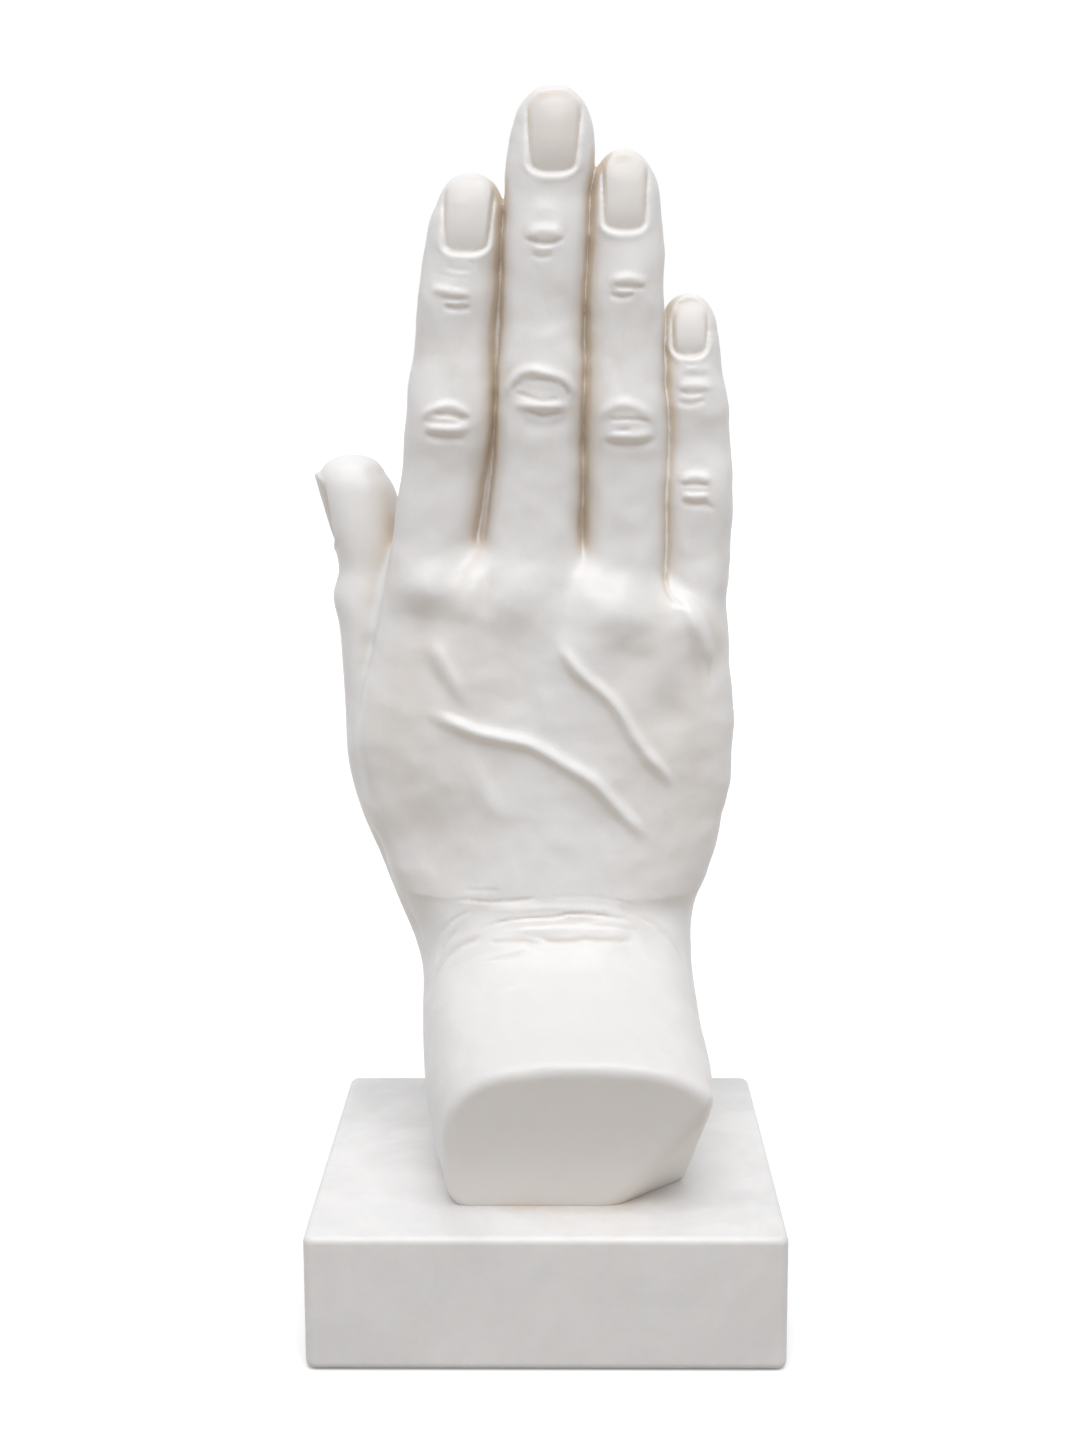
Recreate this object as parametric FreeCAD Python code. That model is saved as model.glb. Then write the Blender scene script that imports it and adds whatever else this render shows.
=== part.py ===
"""An upright hand with its fingers together, standing on a square plinth.

The hand is bent back at the wrist, so a short stub of forearm comes forward and ends in a sawn face. The stub's
flattened underside is the foot that sits on the plinth. A threaded sleeve is potted into the foot, and a stud in it
goes down through the plinth to two washers and a nut in a counterbore. A dowel beside the stud stops the hand from
turning, and a felt sheet is let into the underside.

Millimetres. +X is to the right and +Y to the back as one faces the back of the hand, +Z is up, and the origin is the
middle of the felt's lower face. The hand's own sizes are counted from its wrist line, a level line across the front
of the wrist about which the forearm turns: behind it, and up from it.
"""

import FreeCAD
import Part
import math
import os

from FreeCAD import Vector

# Plinth
plinth_side = 105.0
plinth_thickness = 30.4
plinth_edge_radius = 1.6
plinth_corner_radius = 2.4

# Felt sheet, let into the plinth's underside and standing a little proud of it
felt_thickness = 1.2
felt_proud = 0.3
felt_margin = 5.0
felt_corner_radius = 3.0
felt_fit_gap = 0.2

# Wrist line, and how deep the plinth's top cuts into the stub's lower edge at the sawn face
wrist_line_y = -6.0
foot_cut = 4.9

# Forearm stub: its length and dip, and the softened edge of its sawn face
stub_length = 45.1
stub_dip_deg = 18.0
face_edge_round = 2.4

# Sections of stub and palm: where they are centred across, their half widths, and how far their two skins lie
# behind the wrist line
face_centre_x = 6.6
face_half_left = 30.6
face_half_right = 33.0
face_back_skin = 7.8
face_palm_skin = 51.0
stub_centre_x = 5.0
stub_half_width = 33.5
stub_back_skin = 8.2
stub_palm_skin = 55.6
wrist_centre_x = 3.9
wrist_half_width = 32.4
wrist_back_skin = 7.8
wrist_palm_skin = 58.6
heel_half_width = 32.2
heel_palm_skin = 51.6
palm_root_half_width = 35.4
palm_root_back_skin = 3.4
palm_root_palm_skin = 41.6
palm_half_width = 44.8
palm_back_skin = 2.2
palm_palm_skin = 28.8
palm_widest_up = 40.0
palm_top_centre_x = 2.2
palm_top_half_width = 41.0
palm_top_palm_skin = 32.4
palm_top_up = 72.0
palm_top_tilt_deg = 7.0
palm_crown = 9.5

# Slanted facet at the stub's lower right corner: two points where it meets the foot, and one on the face above
facet_foot_front_x = 14.3
facet_foot_front_behind = -29.0
facet_foot_back_x = 32.7
facet_foot_back_behind = -11.5
facet_corner_x = 37.2
facet_corner_behind = -37.3
facet_corner_down = 31.6

# Fingers: the ends of each one's middle line, its breadth and depth, and the front of the knuckle at its root
index_root_x = -27.6
index_root_behind = 14.8
index_root_up = 80.0
index_tip_x = -16.9
index_tip_behind = 17.8
index_tip_up = 170.9
index_breadth = 19.6
index_depth = 19.4
index_knuckle_behind = 3.2
middle_root_x = -3.9
middle_root_behind = 13.8
middle_root_up = 80.5
middle_tip_x = 2.1
middle_tip_behind = 16.7
middle_tip_up = 189.9
middle_breadth = 19.8
middle_depth = 19.2
middle_knuckle_behind = 0.8
ring_root_x = 17.6
ring_root_behind = 15.5
ring_root_up = 74.5
ring_tip_x = 18.3
ring_tip_behind = 17.5
ring_tip_up = 175.8
ring_breadth = 19.0
ring_depth = 18.2
ring_knuckle_behind = 2.4
little_root_x = 35.2
little_root_behind = 18.8
little_root_up = 67.0
little_tip_x = 33.2
little_tip_behind = 19.3
little_tip_up = 143.7
little_breadth = 17.0
little_depth = 16.4
little_knuckle_behind = 6.6
knuckle_length = 27.0
knuckle_depth = 12.0

# Stone left between two fingers, behind the slit that parts them
slit_floor_diameter = 9.0
slit_floor_behind = 1.5
slit_open_end = 9.0

# Thumb: its middle line from the tip down into the palm, and its sections
thumb_tip_x = -48.4
thumb_tip_behind = 33.5
thumb_tip_up = 107.3
thumb_pad_x = -44.6
thumb_pad_up = 94.5
thumb_joint_x = -41.9
thumb_joint_behind = 33.0
thumb_joint_up = 78.5
thumb_root_x = -37.6
thumb_root_behind = 31.0
thumb_root_up = 46.5
ball_x = -25.5
ball_behind = 32.0
ball_up = 14.0
ball_end_x = -11.0
ball_end_behind = 29.0
ball_end_down = 26.5
thumb_breadth = 21.4
thumb_depth = 19.4
thumb_root_breadth = 23.0
thumb_root_depth = 22.6
ball_breadth = 28.0
ball_depth = 29.0
thumb_turn_deg = 14.0

# Pad along the little finger's edge of the palm
edge_pad_top_x = 34.5
edge_pad_end_x = 11.0
edge_pad_top_behind = 22.4
edge_pad_end_behind = 30.0
edge_pad_top_up = 73.0
edge_pad_end_down = 35.5
edge_pad_breadth = 30.0
edge_pad_depth = 29.6

# Nails
nail_rise = 0.5
index_nail_width = 11.2
index_nail_length = 18.6
middle_nail_width = 12.2
middle_nail_length = 22.0
ring_nail_width = 10.8
ring_nail_length = 18.8
little_nail_width = 8.6
little_nail_length = 14.6
thumb_nail_width = 14.0
thumb_nail_length = 20.0

# Sleeve and stud
stud_x = 5.0
stud_behind = -9.0
stud_diameter = 8.0
stud_engagement = 18.0
stud_chamfer = 0.8
thread_clearance = 0.05
sleeve_wall = 3.0
sleeve_end_wall = 2.0
sleeve_beyond_stud = 2.0
potting_gap = 0.15

# Washers, nut and counterbore under the plinth
stud_hole_clearance = 0.5
cork_thickness = 1.5
cork_rim = 8.0
washer_thickness = 1.6
washer_rim = 7.0
washer_clearance = 0.2
nut_wall = 2.5
nut_height = 6.5
nut_chamfer = 0.7
stud_beyond_nut = 1.6
nut_headroom = 1.6
counterbore_clearance = 1.0

# Dowel
dowel_x = -10.0
dowel_behind = -18.0
dowel_diameter = 6.0
dowel_length = 20.0
dowel_chamfer = 0.6
dowel_clearance = 0.05
dowel_end_gap = 0.3

# Every cut that has to pass a face runs on past it by this much
overrun = 4.0

# Points round a section, and how square a section is: 2 gives an ellipse
section_points = 16
palm_squareness = 2.35
stub_squareness = 2.8
digit_squareness = 2.3

# Each row is a level of the palm: its share of the way up to the widest level or from there to the top, then the
# shares of the way that its half width and its skins have gone between those of the two ends
lower_palm_shares = ((0.0, 0.0, 0.0), (0.42, 0.62, 0.4), (1.0, 1.0, 1.0))
upper_palm_shares = ((0.5, 0.42, 0.1), (1.0, 1.0, 1.0))

# Each row closes the palm's top or rounds the sawn face: the share of the crown or round passed, and drawn in.
# The crown leans back by this share of what is drawn in
palm_crown_lean = 0.6
palm_crown_shares = ((0.45, 0.16), (0.85, 0.48))
face_round_shares = ((0.0, 1.0), (0.25, 0.34), (1.0, 0.0))

# Each row is a section of a finger: how far down the middle line it lies, as a share, then its width's share of the
# breadth, and the shares of the depth before and behind the middle line
index_shares = (
    (0.0, 0.13, 0.05, 0.06),
    (0.012, 0.36, 0.13, 0.17),
    (0.045, 0.62, 0.24, 0.29),
    (0.10, 0.80, 0.32, 0.40),
    (0.17, 0.86, 0.36, 0.46),
    (0.24, 0.88, 0.39, 0.46),
    (0.31, 0.90, 0.42, 0.43),
    (0.45, 0.92, 0.42, 0.50),
    (0.62, 0.97, 0.52, 0.47),
    (0.78, 0.98, 0.49, 0.56),
    (0.95, 1.02, 0.56, 0.62),
    (1.08, 0.86, 0.48, 0.60),
)
middle_shares = (
    (0.0, 0.13, 0.05, 0.06),
    (0.010, 0.36, 0.13, 0.17),
    (0.035, 0.70, 0.24, 0.29),
    (0.08, 0.93, 0.32, 0.40),
    (0.14, 1.01, 0.36, 0.46),
    (0.22, 0.97, 0.39, 0.46),
    (0.32, 0.93, 0.42, 0.43),
    (0.46, 0.90, 0.42, 0.50),
    (0.63, 0.95, 0.53, 0.47),
    (0.80, 0.99, 0.49, 0.56),
    (0.96, 1.06, 0.58, 0.62),
    (1.08, 0.90, 0.48, 0.60),
)
ring_shares = (
    (0.0, 0.13, 0.05, 0.06),
    (0.010, 0.36, 0.13, 0.17),
    (0.040, 0.66, 0.24, 0.29),
    (0.09, 0.84, 0.32, 0.40),
    (0.15, 0.90, 0.36, 0.46),
    (0.22, 0.92, 0.39, 0.46),
    (0.30, 0.94, 0.42, 0.43),
    (0.45, 0.97, 0.42, 0.50),
    (0.61, 1.01, 0.52, 0.47),
    (0.78, 1.01, 0.49, 0.56),
    (0.95, 1.03, 0.56, 0.62),
    (1.08, 0.88, 0.48, 0.60),
)
little_shares = (
    (0.0, 0.13, 0.05, 0.06),
    (0.015, 0.36, 0.13, 0.17),
    (0.05, 0.64, 0.24, 0.29),
    (0.10, 0.80, 0.32, 0.40),
    (0.17, 0.87, 0.36, 0.46),
    (0.24, 0.91, 0.39, 0.46),
    (0.30, 0.94, 0.42, 0.43),
    (0.44, 0.97, 0.42, 0.50),
    (0.59, 1.01, 0.51, 0.47),
    (0.78, 1.02, 0.49, 0.56),
    (0.95, 1.04, 0.56, 0.62),
    (1.10, 0.90, 0.48, 0.60),
)

# Each row is a section of the thumb: the stretch of its middle line that it is on, counted from the tip, its share
# of the way along that, then its width's share and the shares of the depth on the nail's side and the other
thumb_shares = (
    (0, 0.0, 0.13, 0.05, 0.07),
    (0, 0.05, 0.36, 0.14, 0.20),
    (0, 0.22, 0.66, 0.28, 0.35),
    (0, 0.50, 0.86, 0.38, 0.46),
    (0, 1.00, 0.98, 0.44, 0.54),
    (1, 0.55, 1.00, 0.45, 0.55),
    (1, 1.00, 1.00, 0.48, 0.49),
    (2, 0.45, 0.94, 0.41, 0.48),
    (2, 1.00, 1.00, 0.48, 0.42),
    (3, 0.50, 0.90, 0.42, 0.50),
    (3, 1.00, 1.00, 0.46, 0.54),
    (4, 0.35, 1.00, 0.46, 0.54),
    (4, 0.70, 0.92, 0.42, 0.48),
    (4, 1.0, 0.46, 0.22, 0.25),
)

# Each row is a section of the palm's edge pad: its share of the way down, and its size's share of the pad's
edge_pad_shares = ((0.0, 0.3), (0.06, 0.54), (0.26, 0.9), (0.5, 1.0), (0.72, 1.0), (0.9, 0.8), (1.0, 0.4))

# A knuckle's width as a share of its finger's breadth
knuckle_width_share = 0.97

# A nail's root is an arc whose ends rise by a share of its width, through points at these shares across and up
nail_corner_share = 0.42
nail_arc_shares = ((0.0, 1.0), (0.3, 0.2), (1.0, 0.0))

# Worked out from the sizes above
stub_dip = math.radians(stub_dip_deg)
plinth_bottom = felt_proud
plinth_top = plinth_bottom + plinth_thickness
wrist_line_z = (plinth_top + face_palm_skin * math.cos(stub_dip) + stub_length * math.sin(stub_dip)
                - foot_cut)


def spot(x, behind, up):
    """A point of the hand, counted from the wrist line."""
    return Vector(x, wrist_line_y + behind, wrist_line_z + up)


def mix(first, last, share):
    return first + (last - first) * share


def signed_power(value, power):
    return math.copysign(abs(value) ** power, value)


def section(centre, across, outward, half_right, half_left, front, rear, squareness):
    """A smooth closed section. Width runs along across, and its rear side lies along outward."""
    points = []
    for step in range(section_points):
        angle = 2 * math.pi * step / section_points + math.pi / 2
        along = signed_power(math.cos(angle), 2 / squareness)
        out = signed_power(math.sin(angle), 2 / squareness)
        reach = half_right if along > 0 else half_left
        depth = rear if out > 0 else front
        points.append(centre + across * (reach * along) + outward * (depth * out))
    knots = [step / section_points for step in range(section_points + 1)]
    curve = Part.BSplineCurve()
    curve.interpolate(Points=points, PeriodicFlag=True, Parameters=knots)
    return Part.Wire(curve.toShape())


def level_section(centre, half_width, front, rear):
    return section(centre, Vector(1, 0, 0), Vector(0, 1, 0), half_width, half_width, front, rear,
                   digit_squareness)


def loft(profiles):
    return Part.makeLoft(profiles, True, False)


def cylinder(diameter, length, x, y, z):
    return Part.makeCylinder(diameter / 2, length, Vector(x, y, z))


def chamfered_cylinder(diameter, length, chamfer, x, y, z):
    rod = cylinder(diameter, length, x, y, z)
    rims = [edge for edge in rod.Edges if edge.BoundBox.ZLength < edge.BoundBox.XLength / 2]
    return rod.makeChamfer(chamfer, rims)


# Forearm stub, wrist and palm, as one bent loft

def turned_section(turn, run, centre_x, half_left, half_right, back_skin, palm_skin, drawn_in=0.0, tilt=0.0):
    """A section turned down by an angle about the wrist line, moved forward by run, its right side let down."""
    outward = Vector(0, math.cos(turn), -math.sin(turn))
    forward = Vector(0, -math.sin(turn), -math.cos(turn))
    middle = (back_skin + palm_skin) / 2
    depth = (palm_skin - back_skin) / 2 - drawn_in
    centre = spot(centre_x, 0, 0) + outward * middle + forward * run
    across = Vector(math.cos(tilt), 0, -math.sin(tilt))
    return section(centre, across, outward, half_right - drawn_in, half_left - drawn_in, depth, depth,
                   mix(palm_squareness, stub_squareness, math.sin(turn)))


def stub_profiles():
    turn = math.pi / 2 - stub_dip
    profiles = []
    for passed, drawn_in in face_round_shares:
        profiles.append(turned_section(turn, stub_length - face_edge_round * passed, face_centre_x,
                                       face_half_left, face_half_right, face_back_skin, face_palm_skin,
                                       face_edge_round * drawn_in))
    profiles.append(turned_section(turn, stub_length / 2, stub_centre_x, stub_half_width, stub_half_width,
                                   stub_back_skin, stub_palm_skin))
    profiles.append(turned_section(turn, 0, wrist_centre_x, wrist_half_width, wrist_half_width,
                                   wrist_back_skin, wrist_palm_skin))
    profiles.append(turned_section(turn / 2, 0, wrist_centre_x / 2, heel_half_width, heel_half_width,
                                   wrist_back_skin, heel_palm_skin))
    return profiles


def palm_profiles():
    profiles = []
    tilt = math.radians(palm_top_tilt_deg)
    for up, width, depth in lower_palm_shares:
        half = mix(palm_root_half_width, palm_half_width, width)
        profiles.append(turned_section(0, -palm_widest_up * up, 0, half, half,
                                       mix(palm_root_back_skin, palm_back_skin, depth),
                                       mix(palm_root_palm_skin, palm_palm_skin, depth)))
    for up, width, depth in upper_palm_shares:
        half = mix(palm_half_width, palm_top_half_width, width)
        profiles.append(turned_section(0, -mix(palm_widest_up, palm_top_up, up), palm_top_centre_x * up,
                                       half, half, palm_back_skin,
                                       mix(palm_palm_skin, palm_top_palm_skin, depth), 0.0, tilt * up))
    for passed, drawn_in in palm_crown_shares:
        moved_back = palm_crown * drawn_in * palm_crown_lean
        profiles.append(turned_section(0, -palm_top_up - palm_crown * passed, palm_top_centre_x,
                                       palm_top_half_width, palm_top_half_width, palm_back_skin + moved_back,
                                       palm_top_palm_skin + moved_back, palm_crown * drawn_in, tilt))
    return profiles


def palm_and_stub():
    return loft(stub_profiles() + palm_profiles())


def edge_pad():
    top = spot(edge_pad_top_x, edge_pad_top_behind, edge_pad_top_up)
    end = spot(edge_pad_end_x, edge_pad_end_behind, -edge_pad_end_down)
    profiles = []
    for down, size in edge_pad_shares:
        half_depth = size * edge_pad_depth / 2
        profiles.append(level_section(mix(top, end, down), size * edge_pad_breadth / 2, half_depth, half_depth))
    return loft(profiles)


# Fingers

class Finger:
    """One finger's middle line, sizes and nail."""

    def __init__(self, root, tip, breadth, depth, shares, knuckle_behind, nail_width, nail_length):
        self.root = root
        self.tip = tip
        self.breadth = breadth
        self.depth = depth
        self.shares = shares
        self.knuckle_y = wrist_line_y + knuckle_behind
        self.nail_width = nail_width
        self.nail_length = nail_length

    def at_level(self, z):
        """The point of the middle line at a level."""
        return mix(self.tip, self.root, (self.tip.z - z) / (self.tip.z - self.root.z))

    def solid(self, swell=0.0):
        """The finger from its tip down into the palm, every section grown by swell."""
        top = self.tip + Vector(0, 0, swell)
        profiles = []
        for down, width, front, rear in self.shares:
            profiles.append(level_section(mix(top, self.root, down), width * self.breadth / 2 + swell,
                                          front * self.depth + swell, rear * self.depth + swell))
        return loft(profiles)

    def nail(self):
        outline = nail_outline(self.tip, self.at_level(self.tip.z - self.nail_length), self.nail_width)
        return self.solid(nail_rise).common(outline.extrude(Vector(0, -self.depth, 0)))

    def whole(self):
        return self.solid().fuse(self.nail()).fuse(self.knuckle())

    def knuckle(self):
        """The low round hump of bone at the finger's root."""
        hump = Part.makeSphere(1.0)
        shape = FreeCAD.Matrix()
        shape.scale(self.breadth * knuckle_width_share / 2, knuckle_depth / 2, knuckle_length / 2)
        shape.move(Vector(self.root.x, self.knuckle_y + knuckle_depth / 2, self.root.z))
        return hump.transformGeometry(shape)


def nail_outline(tip, root, width):
    """A nail seen from the front: straight sides that run on past the tip, and an arc at the root."""
    rise = nail_corner_share * width
    right = [root + Vector(width / 2 * (1 - across), 0, rise * up) for across, up in nail_arc_shares]
    left = [root - Vector(width / 2 * (1 - across), 0, -rise * up) for across, up in nail_arc_shares]
    arc = Part.BSplineCurve()
    arc.interpolate(Points=right + left[-2::-1])
    top = tip.z + overrun
    top_right = Vector(right[0].x, root.y, top)
    top_left = Vector(left[0].x, root.y, top)
    return Part.Face(Part.Wire([arc.toShape(), Part.makeLine(left[0], top_left),
                                Part.makeLine(top_left, top_right), Part.makeLine(top_right, right[0])]))


def slit_floor(first, second):
    """The stone between two neighbouring fingers, behind the slit that parts them."""
    bottom = min(first.root.z, second.root.z)
    top = min(first.tip.z, second.tip.z) - slit_open_end

    def between(z):
        left = first.at_level(z)
        right = second.at_level(z)
        share = first.breadth / (first.breadth + second.breadth)
        return mix(left, right, share) + Vector(0, slit_floor_behind, 0)

    start = between(bottom)
    end = between(top)
    bar = Part.makeCylinder(slit_floor_diameter / 2, (end - start).Length, start, end - start)
    return bar.fuse(Part.makeSphere(slit_floor_diameter / 2, end))


def fingers():
    index = Finger(spot(index_root_x, index_root_behind, index_root_up),
                   spot(index_tip_x, index_tip_behind, index_tip_up), index_breadth, index_depth,
                   index_shares, index_knuckle_behind, index_nail_width, index_nail_length)
    middle = Finger(spot(middle_root_x, middle_root_behind, middle_root_up),
                    spot(middle_tip_x, middle_tip_behind, middle_tip_up), middle_breadth, middle_depth,
                    middle_shares, middle_knuckle_behind, middle_nail_width, middle_nail_length)
    ring = Finger(spot(ring_root_x, ring_root_behind, ring_root_up),
                  spot(ring_tip_x, ring_tip_behind, ring_tip_up), ring_breadth, ring_depth,
                  ring_shares, ring_knuckle_behind, ring_nail_width, ring_nail_length)
    little = Finger(spot(little_root_x, little_root_behind, little_root_up),
                    spot(little_tip_x, little_tip_behind, little_tip_up), little_breadth, little_depth,
                    little_shares, little_knuckle_behind, little_nail_width, little_nail_length)
    return [index, middle, ring, little]


# Thumb

def thumb_line():
    """The thumb's middle line, from its tip to the end of the ball inside the palm."""
    return [spot(thumb_tip_x, thumb_tip_behind, thumb_tip_up), spot(thumb_pad_x, thumb_tip_behind, thumb_pad_up),
            spot(thumb_joint_x, thumb_joint_behind, thumb_joint_up),
            spot(thumb_root_x, thumb_root_behind, thumb_root_up), spot(ball_x, ball_behind, ball_up),
            spot(ball_end_x, ball_end_behind, -ball_end_down)]


def thumb(swell=0.0):
    """The thumb with the ball at its root. Its nail looks to the left."""
    turn = math.radians(thumb_turn_deg)
    palm_way = Vector(math.cos(turn), math.sin(turn), 0)
    across = Vector(-math.sin(turn), math.cos(turn), 0)
    line = thumb_line()
    line[0].z += swell
    sizes = [(thumb_breadth, thumb_depth), (thumb_breadth, thumb_depth), (thumb_root_breadth, thumb_root_depth),
             (ball_breadth, ball_depth), (ball_breadth, ball_depth)]
    profiles = []
    for stretch, along, width, nail_side, pad_side in thumb_shares:
        breadth, depth = sizes[stretch]
        half = width * breadth / 2 + swell
        profiles.append(section(mix(line[stretch], line[stretch + 1], along), across, palm_way, half, half,
                                nail_side * depth + swell, pad_side * depth + swell, digit_squareness))
    return loft(profiles)


def thumb_nail():
    tip = thumb_line()[0]
    outline = nail_outline(tip, tip - Vector(0, 0, thumb_nail_length), thumb_nail_width)
    cutter = outline.extrude(Vector(0, -thumb_depth, 0))
    cutter.rotate(tip, Vector(0, 0, 1), thumb_turn_deg - 90)
    return thumb(nail_rise).common(cutter)


# Hand

def plinth_space():
    """All that lies below the plinth's top, to cut the foot flat."""
    side = plinth_side + 2 * overrun
    return Part.makeBox(side, side, plinth_top + overrun, Vector(-side / 2, -side / 2, -overrun))


def facet_cutter():
    """All that lies outside the slanted facet at the stub's lower right corner."""
    corner = spot(facet_corner_x, facet_corner_behind, -facet_corner_down)
    front = spot(facet_foot_front_x, facet_foot_front_behind, 0)
    back = spot(facet_foot_back_x, facet_foot_back_behind, 0)
    front.z = plinth_top
    back.z = plinth_top
    normal = (front - corner).cross(back - corner).normalize()
    along = (back - front).normalize()
    other = normal.cross(along)
    middle = (front + back) / 2
    corners = [middle + along * (plinth_side * a) + other * (plinth_side * b)
               for a, b in ((-1, -1), (1, -1), (1, 1), (-1, 1))]
    return Part.Face(Part.makePolygon(corners + corners[:1])).extrude(normal * plinth_side)


def sleeve_length():
    return stud_engagement + sleeve_beyond_stud + sleeve_end_wall


def stud_y():
    return wrist_line_y + stud_behind


def dowel_y():
    return wrist_line_y + dowel_behind


def hand():
    """The whole hand in one piece, with its blind holes for the sleeve and the dowel."""
    shape = palm_and_stub()
    digits = fingers()
    pieces = [edge_pad(), thumb().fuse(thumb_nail())]
    for digit in digits:
        pieces.append(digit.whole())
    for first, second in zip(digits, digits[1:]):
        pieces.append(slit_floor(first, second))
    for piece in pieces:
        shape = shape.fuse(piece)
    shape = shape.cut(plinth_space()).cut(facet_cutter())
    sleeve_hole = cylinder(stud_diameter + 2 * (sleeve_wall + potting_gap),
                           sleeve_length() + potting_gap + overrun, stud_x, stud_y(), plinth_top - overrun)
    dowel_hole = cylinder(dowel_diameter + 2 * dowel_clearance, dowel_length / 2 + dowel_end_gap + overrun,
                          dowel_x, dowel_y(), plinth_top - overrun)
    return shape.cut(sleeve_hole).cut(dowel_hole)


# Plinth and felt

def rounded_block(side, height, corner_radius, z):
    block = Part.makeBox(side, side, height, Vector(-side / 2, -side / 2, z))
    uprights = [edge for edge in block.Edges if edge.BoundBox.ZLength > height / 2]
    return block.makeFillet(corner_radius, uprights)


def felt_recess_depth():
    return felt_thickness - felt_proud


def counterbore_depth():
    """From the felt's recess to the face that the washers press on."""
    return cork_thickness + washer_thickness + nut_height + stud_beyond_nut + nut_headroom


def washer_face_z():
    return plinth_bottom + felt_recess_depth() + counterbore_depth()


def plinth():
    block = rounded_block(plinth_side, plinth_thickness, plinth_corner_radius, plinth_bottom)
    rims = [edge for edge in block.Edges if edge.BoundBox.ZLength < plinth_edge_radius]
    block = block.makeFillet(plinth_edge_radius, rims)
    block = block.cut(rounded_block(plinth_side - 2 * (felt_margin - felt_fit_gap), felt_recess_depth() + overrun,
                                    felt_corner_radius + felt_fit_gap, plinth_bottom - overrun))
    block = block.cut(cylinder(stud_diameter + 2 * max(cork_rim, washer_rim) + 2 * counterbore_clearance,
                               washer_face_z() - plinth_bottom + overrun, stud_x, stud_y(),
                               plinth_bottom - overrun))
    block = block.cut(cylinder(stud_diameter + 2 * stud_hole_clearance, plinth_thickness + 2 * overrun, stud_x,
                               stud_y(), plinth_bottom - overrun))
    depth = dowel_length / 2 + dowel_end_gap
    return block.cut(cylinder(dowel_diameter + 2 * dowel_clearance, depth + overrun, dowel_x, dowel_y(),
                              plinth_top - depth))


def felt_base():
    return rounded_block(plinth_side - 2 * felt_margin, felt_thickness, felt_corner_radius, 0)


# Fixings

def threaded_sleeve():
    """The sleeve potted into the foot, closed at its top."""
    outside = cylinder(stud_diameter + 2 * sleeve_wall, sleeve_length(), stud_x, stud_y(), plinth_top)
    bore = cylinder(stud_diameter + 2 * thread_clearance, sleeve_length() - sleeve_end_wall + overrun, stud_x,
                    stud_y(), plinth_top - overrun)
    return outside.cut(bore)


def ring(inner_diameter, outer_diameter, thickness, z):
    return cylinder(outer_diameter, thickness, stud_x, stud_y(), z).cut(
        cylinder(inner_diameter, thickness + 2 * overrun, stud_x, stud_y(), z - overrun))


def cork_washer():
    return ring(stud_diameter + 2 * washer_clearance, stud_diameter + 2 * cork_rim, cork_thickness,
                washer_face_z() - cork_thickness)


def steel_washer():
    return ring(stud_diameter + 2 * washer_clearance, stud_diameter + 2 * washer_rim, washer_thickness,
                washer_face_z() - cork_thickness - washer_thickness)


def nut_bottom_z():
    return washer_face_z() - cork_thickness - washer_thickness - nut_height


def hex_nut():
    corner_radius = (stud_diameter / 2 + nut_wall) / math.cos(math.pi / 6)
    corners = [Vector(stud_x + corner_radius * math.cos(math.pi * step / 3),
                      stud_y() + corner_radius * math.sin(math.pi * step / 3), nut_bottom_z())
               for step in range(7)]
    blank = Part.Face(Part.makePolygon(corners)).extrude(Vector(0, 0, nut_height))
    turned = chamfered_cylinder(2 * corner_radius, nut_height, nut_chamfer, stud_x, stud_y(), nut_bottom_z())
    bore = cylinder(stud_diameter + 2 * thread_clearance, nut_height + 2 * overrun, stud_x, stud_y(),
                    nut_bottom_z() - overrun)
    return blank.common(turned).cut(bore)


def threaded_stud():
    bottom = nut_bottom_z() - stud_beyond_nut
    return chamfered_cylinder(stud_diameter, plinth_top + stud_engagement - bottom, stud_chamfer, stud_x,
                              stud_y(), bottom)


def locating_dowel():
    return chamfered_cylinder(dowel_diameter, dowel_length, dowel_chamfer, dowel_x, dowel_y(),
                              plinth_top - dowel_length / 2)


nodes = {
    "hand": hand,
    "plinth": plinth,
    "felt_base": felt_base,
    "threaded_sleeve": threaded_sleeve,
    "threaded_stud": threaded_stud,
    "cork_washer": cork_washer,
    "steel_washer": steel_washer,
    "hex_nut": hex_nut,
    "locating_dowel": locating_dowel,
}

os.makedirs("parts", exist_ok=True)
for name, make in nodes.items():
    shape = make()
    print(name, "valid" if shape.isValid() else "NOT VALID", len(shape.Solids), "solid", round(shape.Volume, 1))
    shape.exportStep("parts/" + name + ".step")
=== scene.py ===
# %% [markdown]
# # An upright hand on a square plinth
#
# This notebook dresses a imported CAD model, which holds the real sizes: a hand on its own short stub of
# forearm, a square plinth, a felt sheet and a hidden stud, nut, washers, sleeve and dowel. What is added
# here is the carving: skin, nails, knuckles, veins and folds, and the finish of each surface.
#
# The first cell loads the model.

import math

import bmesh
import bpy
import numpy as np
import openvdb
from mathutils import Matrix, Vector


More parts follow.
